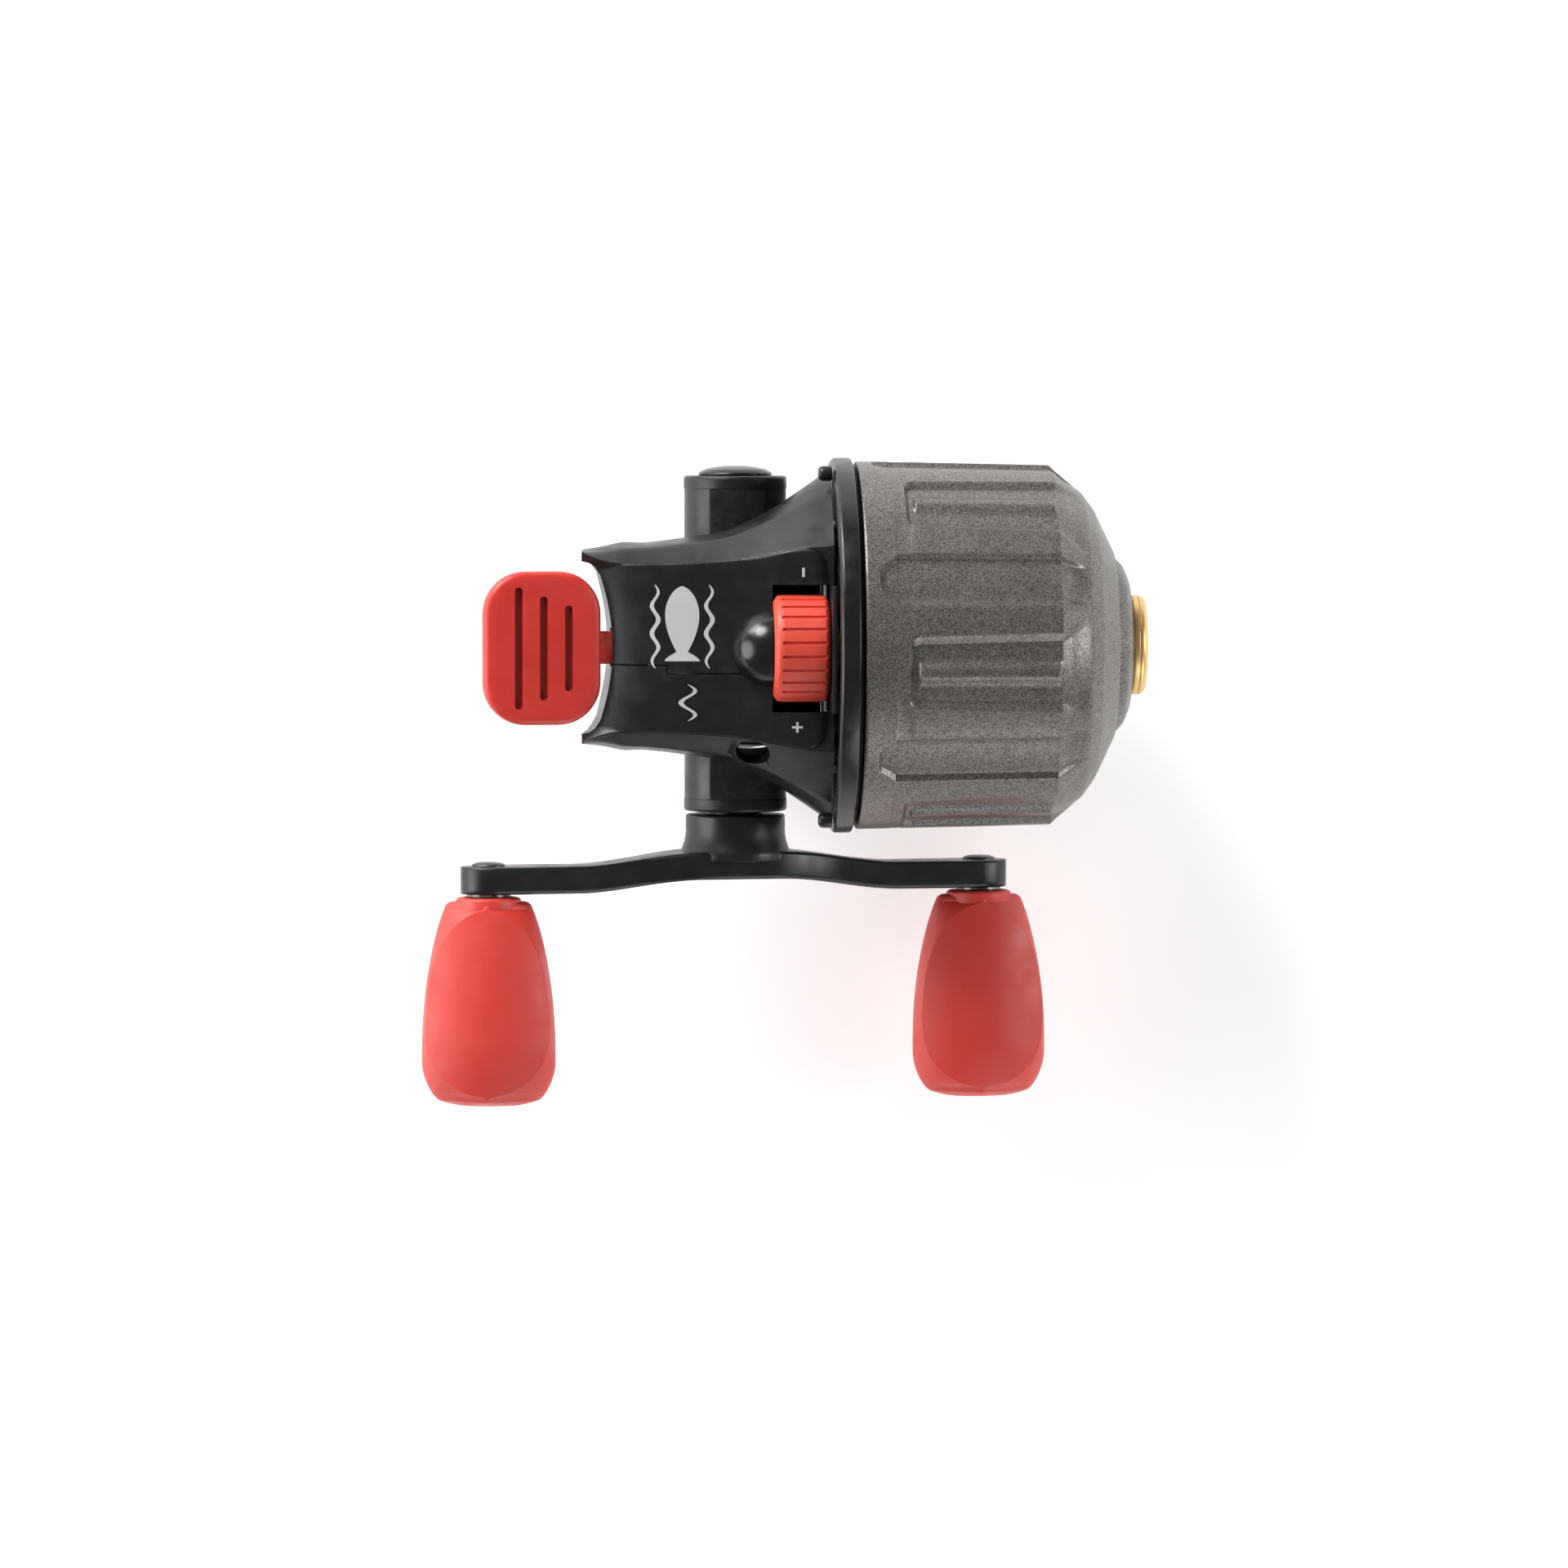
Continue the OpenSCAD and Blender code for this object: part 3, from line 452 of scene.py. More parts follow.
REAR_DROP, REAR_REACH, FRONT_DROP, FRONT_REACH = 1.9, 8.0, 1.5, 3.2
EAR_X = SHELL_REAR + 0.4
DECK_FRONT = SHELL_FRONT - 0.6


def deck_height(x): return AXIS_Z + keyed(x, BODY_X, DECK_T)


def deck_top(x, y):
    """Height of the raised deck: rolled off towards the hollow rear edge and the front."""
    away = math.hypot(x - HOLLOW_X, y) - HOLLOW_R
    rear = 1 - min(1.0, max(0.0, away) / REAR_REACH)
    front = max(0.0, (x - DECK_FRONT + FRONT_REACH) / FRONT_REACH)
    crown = CROWN * (y / 16) ** 2
    return (deck_height(x) - REAR_DROP * rear ** 1.9
            - FRONT_DROP * (1 - math.sqrt(max(0.0, 1 - min(1.0, front) ** 2))) - crown + CROWN)


def deck_half(x):
    """Half-width of the raised deck, with rounded front corners."""
    d = keyed(x, BODY_X, DECK_W)
    r = DECK_CORNER
    into = x - (DECK_FRONT - r)
    return d if into <= 0 else d - r + math.sqrt(max(0.0, r * r - into * into))


def body_ring(x, inset):
    """Section of both shells together at x, drawn in by inset."""
    w, d, t = (keyed(x, BODY_X, k) for k in (BODY_W, DECK_W, DECK_T))
    band, s, b, c = (keyed(x, BODY_X, k) for k in (BAND_W, SHOULDER, BELLY_H, BELLY_W))
    sink = lerp(3.4, 0.75, smooth((x + 34) / 8))
    half = [(d * 0.75, t - sink), (d + 0.05, t - DECK_STEP), (w - band, s + 1.3), (w, s - 4.6),
            (w - 0.7, -8), (c + 2.4, b + 5), (c, b)]
    half = [(y - inset * (0.8 if i < 2 else 1), z - inset if i < 2 else
             z + inset if i == 6 else z) for i, (y, z) in enumerate(half)]
    pts = half + [(-y, z) for y, z in reversed(half)]
    radii = [0.5, 0.25, 0.9, 6, 8, 6, 2.5]
    outline = rounded(pts, radii + radii[::-1], 6)
    lean = 0.13 * (1 - smooth((x - SHELL_REAR) / 12))
    return [(x + lean * (t - p[1]), p[0], AXIS_Z + p[1]) for p in outline]


def body_solid(name, inset, x_rear, x_front):
    return skin(name, [body_ring(x, inset) for x in span(x_rear, x_front, 46)])


def deck_solid():
    """The raised deck as a closed slab that is joined to the body."""
    shares = [1, 0.996, 0.985] + span(0.96, -0.96, 33) + [-0.985, -0.996, -1]
    drops = {1: 0.35, 0.996: 0.16, 0.985: 0.03}
    corner_x = DECK_FRONT - DECK_CORNER
    xs = (span(SHELL_REAR + 0.02, corner_x, 44)
          + [corner_x + DECK_CORNER * math.sin(math.pi / 2 * i / 14) for i in range(1, 14)]
          + [DECK_FRONT - 0.012])
    rings = []
    for x in xs:
        d, under = deck_half(x), deck_height(x) - 4.4
        rings.append([(x, d * q, deck_top(x, d * q) - drops.get(abs(q), 0)) for q in shares]
                     + [(x, -d, under), (x, d, under)])
    return skin("deck_shape", rings)


WALL = 2.0
body = body_solid("body_shape", 0, SHELL_REAR, SHELL_FRONT)
cut(body, deck_solid(), op="UNION")


def rear_hollow():
    """Prism cut out between the ears: a shallow arc that turns out sharply at both ends."""
    arc = [(HOLLOW_X + math.sqrt(HOLLOW_R ** 2 - y * y), y) for y in span(-12.4, 12.4, 41)]
    ear = [(-34.3, 13.7), (-35.3, 14.45), (EAR_X - 0.2, 14.8), (-60, 15.2)]
    pts = arc + ear + [(x, -y) for x, y in ear[::-1]]
    return skin("t", [[(x, y, z) for x, y in pts] for z in (-5, 90)])


cut(body, rear_hollow(), box_piece("t", (-60, -40, -5), (EAR_X, 40, 90)))
cavity = body_solid("cavity", WALL + 0.6, SHELL_REAR + WALL, SHELL_FRONT + 3)
cut(cavity, rod_piece("t", "Z", (HOLLOW_X, 0, 0), -5, 90, HOLLOW_R + WALL, 192))
cut(body, cavity)


BOSS_BORE, BOSS_STUB, RIM_LEN = 5.0, BOSS_R - 0.1, 2.2


def boss(name, y0, y1):
    """Crank boss along Y with a softly rounded outer rim."""
    outline = rounded([(y0, BOSS_BORE), (y0, BOSS_R), (y1, BOSS_R), (y1, BOSS_BORE)],
                      [0.1, 0.1, 0.55, 0.25], 5)
    bm = bmesh.new()
    lathe(bm, outline, "Y", (CRANK_X, 0, CRANK_Z), 128)
    return piece(name, bm)


cut(body, rod_piece("t", "Y", (CRANK_X, 0, CRANK_Z), 10, BOSS_LEFT - 2, BOSS_STUB, 128),
    rod_piece("t", "Y", (CRANK_X, 0, CRANK_Z), BOSS_RIGHT + 2, -12, BOSS_STUB, 128), op="UNION")
cut(body, rod_piece("t", "Y", (CRANK_X, 0, CRANK_Z), -40, 40, BOSS_BORE, 96))

# wheel window, lever slot and the glossy bearing dome behind the wheel
WINDOW_HALF = 10.85
cut(body, box_piece("t", (WHEEL_X0 - 0.1, -WINDOW_HALF, AXIS_Z + 4), (30, WINDOW_HALF, 90)),
    box_piece("t", (-40, -3.3, PIVOT_Z - 6), (-26, 3.3, PIVOT_Z + 1.9)),
    rod_piece("t", "X", (0, 0, DRAG_Z), -9.4, 0, 1.7, 48))
dome_x, dome_r, dome_len = WHEEL_X0 - 0.12, 6.6, 7.0
dome_bm = bmesh.new()
lathe(dome_bm, [(dome_x, 0), (dome_x, dome_r)]
      + [(dome_x - dome_len * math.sin(a), dome_r * math.cos(a))
         for a in span(0.02, math.pi / 2, 30)], "X", (0, 0, DRAG_Z + 0.3), 96)
bmesh.ops.dissolve_degenerate(dome_bm, edges=dome_bm.edges, dist=1e-6)
dome = piece("wheel_bearing_dome", dome_bm)
cut(dome, rod_piece("t", "X", (0, 0, DRAG_Z), -9.4, 0, 1.7, 48))
finish_mesh(dome.data)
place(dome, M_BODY_GLOSS, "frame", "body_plastic")
bridge = box_piece("window_front_wall", (WHEEL_X1 + 0.15, -WINDOW_HALF + 0.05, AXIS_Z + 7.5),
                   (WHEEL_X1 + 1.1, WINDOW_HALF - 0.05, AXIS_Z + 25.4))
cut(bridge, rod_piece("t", "X", (0, 0, DRAG_Z), 4, 8, 1.8, 48))
soften(bridge, 0.25, 40, 2)
place(bridge, M_BODY, "frame", "body_plastic")

# hook keeper pit on the right flank
pit_lo, pit_hi = lo("hook_keeper"), hi("hook_keeper")
pit_mid = (pit_lo + pit_hi) / 2
PIT_TILT = math.radians(30)
pit_dir = Vector((0, -math.sin(PIT_TILT), math.cos(PIT_TILT)))
pit_centre = pit_mid + pit_dir * 0.9 + Vector((0, 0.8, 0))


def tilted_rod(name, centre, direction, s0, s1, r, segs=64):
    o = rod_piece(name, "Z", (0, 0, 0), s0, s1, r, segs)
    turn = Vector((0, 0, 1)).rotation_difference(direction).to_matrix().to_4x4()
    o.data.transform(Matrix.Translation(Vector(centre) * MM) @ turn)
    return o


cut(body, tilted_rod("t", pit_centre, pit_dir, -4.4, -1.0, 3.8), op="UNION")
cut(body, tilted_rod("t", pit_centre, pit_dir, -3.4, 6, 2.95))

# recessed shell screw seats on the right side
for screw_x, screw_z, seat_y in ((-28.0, 32.0, -15.2), (0.0, 17.6, -14.4)):
    cut(body, rod_piece("t", "Y", (screw_x, 0, screw_z), -24, seat_y, 2.1, 48))


def seam_side(side):
    """Everything on one side of the stepped seam."""
    gap, far = 0.1 * side, 60 * side
    step, y0, y1 = SEAM_STEP_X + gap, SEAM_REAR_Y + gap, SEAM_FRONT_Y + gap
    pts = [(-70, y0), (step, y0), (step, y1), (30, y1), (30, far), (-70, far)]
    return skin("side", [[(x, y, z) for x, y in pts] for z in (-10, 120)])


for shell, side, node in ((copy_of(body), 1, "left_shell"), (body, -1, "right_shell")):
    shell.name = "left_side_shell" if side > 0 else "right_side_shell"
    cut(shell, seam_side(side), op="INTERSECT")
    soften(shell, 0.28, 38, 2)
    place(shell, M_BODY, "frame", "body_plastic", node)

# small lugs of the shells behind the flange ring
for side, name in ((1, "left_flange_lug"), (-1, "right_flange_lug")):
    lug = turned(name, [(3.9, 0), (3.9, 0.9), (4.5, 1.3), (6.3, 1.3), (6.3, 0)], "X",
                 (0, side * 29.7, AXIS_Z + 9.3), 0.35, 40)
    place(lug, M_BODY, "frame", "body_plastic")

# rounded rims of the bosses stand over the shells' own stubs
for name, y0, y1 in (("left_boss_rim", BOSS_LEFT - RIM_LEN, BOSS_LEFT),
                     ("right_boss_rim", BOSS_RIGHT + RIM_LEN, BOSS_RIGHT)):
    place(boss(name, y0, y1), M_BODY, "frame", "body_plastic")

cap = turned("boss_end_cap",
             [(BOSS_LEFT - 3, 0), (BOSS_LEFT - 3, 4.9), (BOSS_LEFT + 0.02, 4.9),
              (BOSS_LEFT + 0.02, 6.35), (BOSS_LEFT + 0.5, 6.35), (BOSS_LEFT + 1.1, 5.4),
              (BOSS_LEFT + 1.5, 3.6), (BOSS_LEFT + 1.72, 1.8), (BOSS_LEFT + 1.75, 0)],
             "Y", (CRANK_X, 0, CRANK_Z), 0.25, 96)
place(cap, M_BODY_GLOSS, "frame", "body_plastic", "end_cap")


# ---------------- printed marks on the deck
def print_mark(name, rows):
    """Thin ink on the deck: a ribbon between the two points of each row."""
    bm = bmesh.new()
    sides = [[bm.verts.new((x, y, deck_top(x, y) + 0.05)) for x, y in (a, b)] for a, b in rows]
    low = [[bm.verts.new((x, y, deck_top(x, y) - 0.04)) for x, y in (a, b)] for a, b in rows]
    for k in range(len(rows) - 1):
        (a, b), (c, d) = sides[k], sides[k + 1]
        (e, f), (g, h) = low[k], low[k + 1]
        for quad in ((a, b, d, c), (f, e, g, h), (b, f, h, d), (e, a, c, g)):
            bm.faces.new(quad)
    bm.faces.new((sides[0][1], sides[0][0], low[0][0], low[0][1]))
    bm.faces.new((sides[-1][0], sides[-1][1], low[-1][1], low[-1][0]))
    return place(piece(name, bm), M_PRINT, "frame", "body_plastic")


def wavy(x, ys, width, wave, turns, n=48):
    """Rows of a wavy band across the deck, thin at both ends."""
    rows = []
    for k in range(n + 1):
        t = k / n
        mid = x + wave * math.sin(2 * math.pi * turns * t)
        half = width / 2 * (0.25 + 0.75 * math.sin(math.pi * t) ** 0.6)
        y = lerp(ys[0], ys[1], t)
        rows.append(((mid - half, y), (mid + half, y)))
    return rows


MINUS_Y, PLUS_Y = 13.0, -13.4
print_mark("minus_mark", [((0.7, MINUS_Y + k), (1.15, MINUS_Y + k)) for k in (-0.8, 0, 0.8)])
arm, half = 0.9, 0.2
plus_x = -0.1
print_mark("plus_mark", [((plus_x - q, PLUS_Y + k), (plus_x + q, PLUS_Y + k)) for k, q in (
    (-arm, half), (-half - 0.001, half), (-half, arm), (half, arm), (half + 0.001, half),
    (arm, half))])

# generic wave and fish emblem, running across the deck
FISH_X = -19.6
print_mark("wave_behind", wavy(FISH_X - 4.6, (10.8, -3.4), 0.8, 0.55, 3))
print_mark("wave_ahead", wavy(FISH_X + 4.6, (10.8, -3.4), 0.8, 0.55, 3))
fish = []
for k in range(41):
    t = k / 40
    belly = 2.9 * math.sin(math.pi * min(1, t * 1.02) ** 0.75) ** 0.8
    tail = 3.0 * smooth((t - 0.8) / 0.2)
    h = max(0.12, belly * (t < 0.97)) if t < 0.82 else max(belly, 0.3, tail)
    fish.append(((FISH_X - h, lerp(10.6, -2.2, t)), (FISH_X + h, lerp(10.6, -2.2, t))))
print_mark("fish_mark", fish)
print_mark("hook_mark", wavy(FISH_X + 1, (-6.2, -12.4), 0.9, 1.2, 1.5))

# steel keeper bar with a bent middle
rings = []
for k, x in enumerate(span(pit_lo[0] + 1.1, pit_hi[0] - 1.1, 25)):
    t = k / 24
    lift = 0.3 * math.sin(math.pi * t)
    c = Vector((x, pit_mid[1] + 1.5, pit_mid[2] + 0.2)) + pit_dir * lift
    rings.append([c + Vector((0, math.cos(a), math.sin(a))) * 0.5
                  for a in [2 * math.pi * i / 16 for i in range(16)]])
place(skin("hook_keeper_bar", rings), M_STEEL, "frame", "steel", "hook_keeper")


# ---------------- flange ring (deck plate)
FLANGE_X0, FLANGE_X1 = 6.5, 10.7
LAND_R = COVER_R - 2
deck = turned("deck_plate_turned", [
    (5.2, 4.4), (5.2, 6.5), (7.0, 6.5), (7.0, FLANGE_R - 2.6), (FLANGE_X0, FLANGE_R - 2.6),
    (FLANGE_X0, FLANGE_R - 0.6), (FLANGE_X0 + 0.5, FLANGE_R), (FLANGE_X1 - 0.9, FLANGE_R),
    (FLANGE_X1 - 0.7, FLANGE_R - 0.3), (FLANGE_X1 - 0.65, FLANGE_R - 1.3),
    (FLANGE_X1 - 0.05, FLANGE_R - 1.5), (FLANGE_X1 - 0.05, LAND_R - 0.3), (13.4, LAND_R - 0.3),
    (13.4, LAND_R - 1.8), (9.5, LAND_R - 1.8), (9.5, 8), (12.9, 8), (12.9, 6.5), (31, 6.5),
    (31, 4.4)], "X", (0, 0, AXIS_Z), 0.3, 192)
cut(deck, rod_piece("t", "X", (0, 0, DRAG_Z), 4, 12.5, 3.4, 48))
finish_mesh(deck.data)
place(deck, M_DECK, "frame", "deck_metal", "deck_plate")


# ---------------- front cover
PANELS = 6
PANEL_MID = -7.0
SHOULDER_X, SHOULDER_R = 44.2, 31.0
HALF_PITCH = math.pi * SHOULDER_R / PANELS
PANEL_ARC, POCKET_ARC, RIB_ARC, EDGE_ARC = 11.6, 6.1, 0.4, 1.0
VALLEY_X, CORNER_X, STEP_X, POCKET_X, RIB_X, FACET_X = 13.2, 16.4, 16.3, 18.1, 19.4, 49.7
VALLEY_DEEP, POCKET_DEEP = 0.95, 0.95


def cover_profile():
    """(x, radius) rows along the outside: side, shoulder, cone, second cone and nose."""
    rear = [(COVER_REAR + 0.45 * (1 - math.cos(a)), COVER_R - 0.35 * (1 - math.sin(a)))
            for a in span(0, math.pi / 2, 5)]
    xs = (span(11.7, 13.1, 4) + span(VALLEY_X, VALLEY_X + 0.8, 7) + span(14.5, 16.1, 5)
          + span(STEP_X, STEP_X + 0.2, 3) + span(CORNER_X, 17.9, 4)
          + span(POCKET_X, POCKET_X + 2.4, 16) + span(21.4, 42.9, 21)
          + span(43.2, SHOULDER_X - 0.4, 4) + span(SHOULDER_X - 0.3, SHOULDER_X, 4))
    side = [(x, lerp(COVER_R, SHOULDER_R, (x - COVER_REAR) / (SHOULDER_X - COVER_REAR)))
            for x in xs]
    cone = rounded_profile([(SHOULDER_X, SHOULDER_R), (45.4, 29.9), (FACET_X, 26.3), (51.8, 23.4),
                            (54.5, 17.8), (55.2, 16.35)], 0.5, 4)
    dense = [cone[0]]
    for q in cone[1:]:
        n = max(1, round((q - dense[-1]).length / 0.5))
        a = dense[-1]
        dense += [a.lerp(q, i / n) for i in range(1, n + 1)]
    rows = rear + side + [(q[0], q[1]) for q in dense[1:]]
    rows += [(55.0, 16.1), (54.75, 15.8), (54.8, 15.5), (55.25, 15.4)]
    nose = rounded_profile([(55.4, 15.3), (56.9, 13.7), (57.8, 11.6), (COVER_FRONT, 10.3),
                            (COVER_FRONT, 7.25)], 0.6, 6)
    return rows + [(q[0], q[1]) for q in nose]


def ramp(d, width): return smooth(d / width + 0.5)


def feature_arcs(x):
    """Arc positions of the rib, pocket, panel edges at x, measured from a panel's middle."""
    cone = max(0.0, x - SHOULDER_X)
    panel = PANEL_ARC + max(0.0, CORNER_X - x) * 0.85
    round_in = 2.0
    into = min(round_in, max(0.0, x - POCKET_X))
    pocket = POCKET_ARC + 0.03 * (min(x, SHOULDER_X) - POCKET_X) - round_in
    pocket += math.sqrt(round_in ** 2 - (round_in - into) ** 2)
    pocket = lerp(pocket, panel - 0.5, min(1.0, cone / (FACET_X - SHOULDER_X)))
    rise = min(1.0, max(0.0, (x - RIB_X) / 0.9))
    rib = 0.15 + (RIB_ARC - 0.15) * math.sqrt(1 - (1 - rise) ** 2)
    return rib, pocket, min(panel, HALF_PITCH - 1.6)


def feature_depths(x):
    """How far the rib, the pocket and the valley lie under the panel at x."""
    cone = max(0.0, x - SHOULDER_X) / (FACET_X - SHOULDER_X)
    end = (1 - 0.45 * smooth(cone * 3)) * (1 - smooth((cone - 0.35) / 0.65))
    pocket = POCKET_DEEP * ramp(x - POCKET_X - 0.35, 0.7) * end
    rib = pocket * (1 - 0.92 * ramp(x - RIB_X - 0.3, 0.6) * (1 - ramp(x - SHOULDER_X + 0.3, 0.7)))
    valley = VALLEY_DEEP * ramp(x - VALLEY_X - 0.35, 0.6) * (1 - smooth((cone - 0.2) / 0.8))
    return rib, pocket, valley


def half_panel(x):
    """(arc, depth) columns from a panel's middle to the middle of its valley."""
    rib, pocket, panel = feature_arcs(x)
    d_rib, d_pocket, d_valley = feature_depths(x)
    step = 0.07 * ramp(x - STEP_X - 0.1, 0.2) * (1 - smooth((x - POCKET_X) / 1.5))
    cols = [(a, d_rib) for a in span(0, rib, 3)]
    for i in range(1, 14):
        t = i / 14
        rise, fall = smooth(t / 0.34), 1 - smooth((t - 0.78) / 0.22)
        cols.append((lerp(rib, pocket, t), (lerp(d_rib, d_pocket, rise)) * fall))
    cols += [(a, 0.0) for a in span(pocket, panel, 9)]
    wall = min(EDGE_ARC, HALF_PITCH - panel - 0.3)
    cols = [(a, d + step) for a, d in cols]
    cols += [(panel + wall * i / 6, d_valley * smooth(i / 6)) for i in range(1, 6)]
    cols += [(a, d_valley) for a in span(panel + wall, HALF_PITCH, 5)]
    return cols


def build_cover():
    """Closed shell of the cover: the panelled outside, then the plain inside."""
    inner = [(56.25, 7.25), (56.1, 9.6), (55.0, 13), (52.3, 17.6), (50.7, 21.2), (48.9, 23.8),
             (46.2, 26.2), (42.3, 28.7), (COVER_REAR + 0.3, COVER_R - 2)]
    rings = []
    for x, r in cover_profile():
        half = half_panel(x)
        ring = []
        for k in range(PANELS):
            mid = math.radians(PANEL_MID + 360 / PANELS * k)
            for arc, depth in [(-a, d) for a, d in half[:0:-1]] + half[:-1]:
                if COVER_REAR + 1 > x or x > FACET_X + 1:
                    depth = 0.0
                a = mid + arc / SHOULDER_R
                ring.append((x, (r - depth) * math.sin(a), AXIS_Z + (r - depth) * math.cos(a)))
        rings.append(ring)
    count = len(rings[0])
    first = math.radians(PANEL_MID - 180 / PANELS)
    turns = [2 * math.pi * k / count + first for k in range(count)]
    rings += [[(x, r * math.sin(a), AXIS_Z + r * math.cos(a)) for a in turns] for x, r in inner]
    return skin("front_cover_shell", rings, math.radians(24), closed=True)


place(build_cover(), M_COVER, "cover", "cover_paint", "front_cover")

ring_in = 4.2
ring = turned("line_ring", [
    (57.2, ring_in), (56.6, ring_in + 0.6), (56.6, 7.15), (COVER_FRONT + 0.02, 7.15),
    (COVER_FRONT + 0.02, RING_R - 0.4), (COVER_FRONT + 0.35, RING_R), (59.35, RING_R),
    (59.45, RING_R - 0.16), (59.6, RING_R), (60.2, RING_R - 0.1), (RING_FRONT, RING_R - 0.9),
    (RING_FRONT, ring_in + 1.5), (60.4, ring_in + 0.5), (59.8, ring_in)],
    "X", (0, 0, AXIS_Z), 0.35, 160)
place(ring, M_GOLD, "cover", "gold_ring", "line_guide_ring")


# ---------------- drag wheel
def build_wheel():
    """Ribbed roller: flat ribs parted by narrow grooves between two plain shoulders."""
    ribs = 24
    width = WHEEL_X1 - WHEEL_X0
    shoulder_rear, shoulder_front, groove, deep = 1.4, 0.7, 0.085, 0.36
    xs = [0, 0.1, 0.3, 0.6, 0.9, shoulder_rear - 0.12, shoulder_rear + 0.06,
          shoulder_rear + 0.3]
    xs += span(2.4, width - 2.4, 5)
    xs += [width - shoulder_front - 0.25, width - shoulder_front - 0.04,
           width - shoulder_front + 0.1, width - 0.35, width - 0.15, width]
    bm = bmesh.new()
    rings = []
    for k in range(ribs):
        for q in [-0.5, groove - 0.5, groove * 1.6 - 0.5, -0.28, -0.1, 0.1, 0.28,
                  0.5 - groove * 1.6, 0.5 - groove]:
            a = 2 * math.pi * (k + q) / ribs
            in_groove = abs(q) > 0.5 - groove * 1.3
            ring = [(WHEEL_X0, 0, 0)]
            for x in xs:
                e = min(x, width - x)
                top = WHEEL_R - 1.25 * (1 - math.sin(min(1, (e + 0.12) / 1.05) * math.pi / 2))
                ribbed = shoulder_rear < x < width - shoulder_front
                r = top - (deep if in_groove and ribbed else 0) - (0 if ribbed else 0.06)
                ring.append((WHEEL_X0 + x, r * math.sin(a), r * math.cos(a)))
            ring.append((WHEEL_X1, 0, 0))
            rings.append([(x, y, z + DRAG_Z) for x, y, z in ring])
    loft(bm, rings, closed=True)
    bmesh.ops.dissolve_degenerate(bm, edges=bm.edges, dist=1e-6)
    return piece("drag_thumb_wheel", bm, math.radians(30))


wheel = build_wheel()
cut(wheel, rod_piece("t", "X", (0, 0, DRAG_Z), WHEEL_X0 - 2, WHEEL_X1 + 2, 1.62, 48))
finish_mesh(wheel.data, math.radians(45))
place(wheel, M_WHEEL_PAINTED_HIGHLIGHT, "drag_dial", "red_plastic", "drag_wheel")


# ---------------- thumb button
def build_button():
    """Pad with rounded corners and three grooves whose walls carry a darker red as painted shade, tilted up
    towards the rear.
    """
    x1 = PIVOT_X - 9.75
    length = 20.35
    half = hi("thumb_button")[1]
    tilt = math.radians(10)
    corner_r, thick = 7.3, 3.0

    def outline(inset, n=14):
        """Plan of the pad with its round corners."""
        pts = []
        r = corner_r - inset
        for cx, cy, a0 in ((-corner_r, half - corner_r, 0),
                           (corner_r - length, half - corner_r, 90),
                           (corner_r - length, corner_r - half, 180),
                           (-corner_r, corner_r - half, 270)):
            for i in range(n):
                a = math.radians(a0 + 90 * i / (n - 1))
                pts.append((cx + r * math.cos(a), cy + r * math.sin(a)))
        return pts

    edge = [(0.9, 0.0), (0.25, 0.15), (0.0, 0.7), (0.0, thick - 1.1), (0.12, thick - 0.55),
            (0.45, thick - 0.18), (0.95, thick - 0.02), (2.2, thick), (4.2, thick - 0.03)]
    pad = skin("pad", [[(x, y, z) for x, y in outline(inset)] for inset, z in edge])
    pad.data.materials.append(M_RED)
    for i in range(3):
        gx = 5.9 - length + 4.35 * i
        glen = 20.9 - 3.1 * i
        rows = []
        for z, r in ((thick - 1.0, 0.5), (thick - 0.85, 0.66), (thick + 1, 0.72)):
            pts = []
            for cy, a0 in ((glen / 2 - 0.7, 0), (0.7 - glen / 2, 180)):
                for k in range(9):
                    a = math.radians(a0 + 180 * k / 8)
                    pts.append((gx + r * math.cos(a), cy + r * math.sin(a), z))
            rows.append(pts)
        groove = skin("groove", rows)
        # the groove walls take the darker red, which is painted shade
        groove.data.materials.append(M_RED_GROOVE_SHADE)
        m = pad.modifiers.new("cut", "BOOLEAN")
        m.object, m.operation, m.solver = groove, "DIFFERENCE", "EXACT"
        m.material_mode = "TRANSFER"
        apply_modifiers(pad)
        bpy.data.objects.remove(groove)
    turn = Matrix.Rotation(tilt, 4, "Y")
    pad.data.transform(Matrix.Translation(Vector((x1, 0, PIVOT_Z + 0.6)) * MM) @ turn)
    return pad


# the pad keeps its two materials (red plastic and the painted groove shade), so place() is not used on it
pad = build_button()
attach(pad, "button")
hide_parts("thumb_button")
pad.name = "thumb_pad"
finish_mesh(pad.data)

# neck: a flat bar that swells into the pad
neck_rings = []
for x in span(PIVOT_X - 0.5, PIVOT_X - 13.5, 20):
    t = (PIVOT_X - x) / 13.0
    hw = 2.8 + 1.4 * smooth((t - 0.72) / 0.28)
    z0 = PIVOT_Z - 1.0 + 0.9 * smooth((t - 0.5) * 2)
    z1 = PIVOT_Z + 1.35 + 0.9 * smooth((t - 0.6) * 2.5)
    pts = rounded([(hw, z0), (hw, z1), (-hw, z1), (-hw, z0)], [0.5] * 4, 4)
    neck_rings.append([(x, p[0], p[1]) for p in pts])
neck = skin("button_neck", neck_rings)

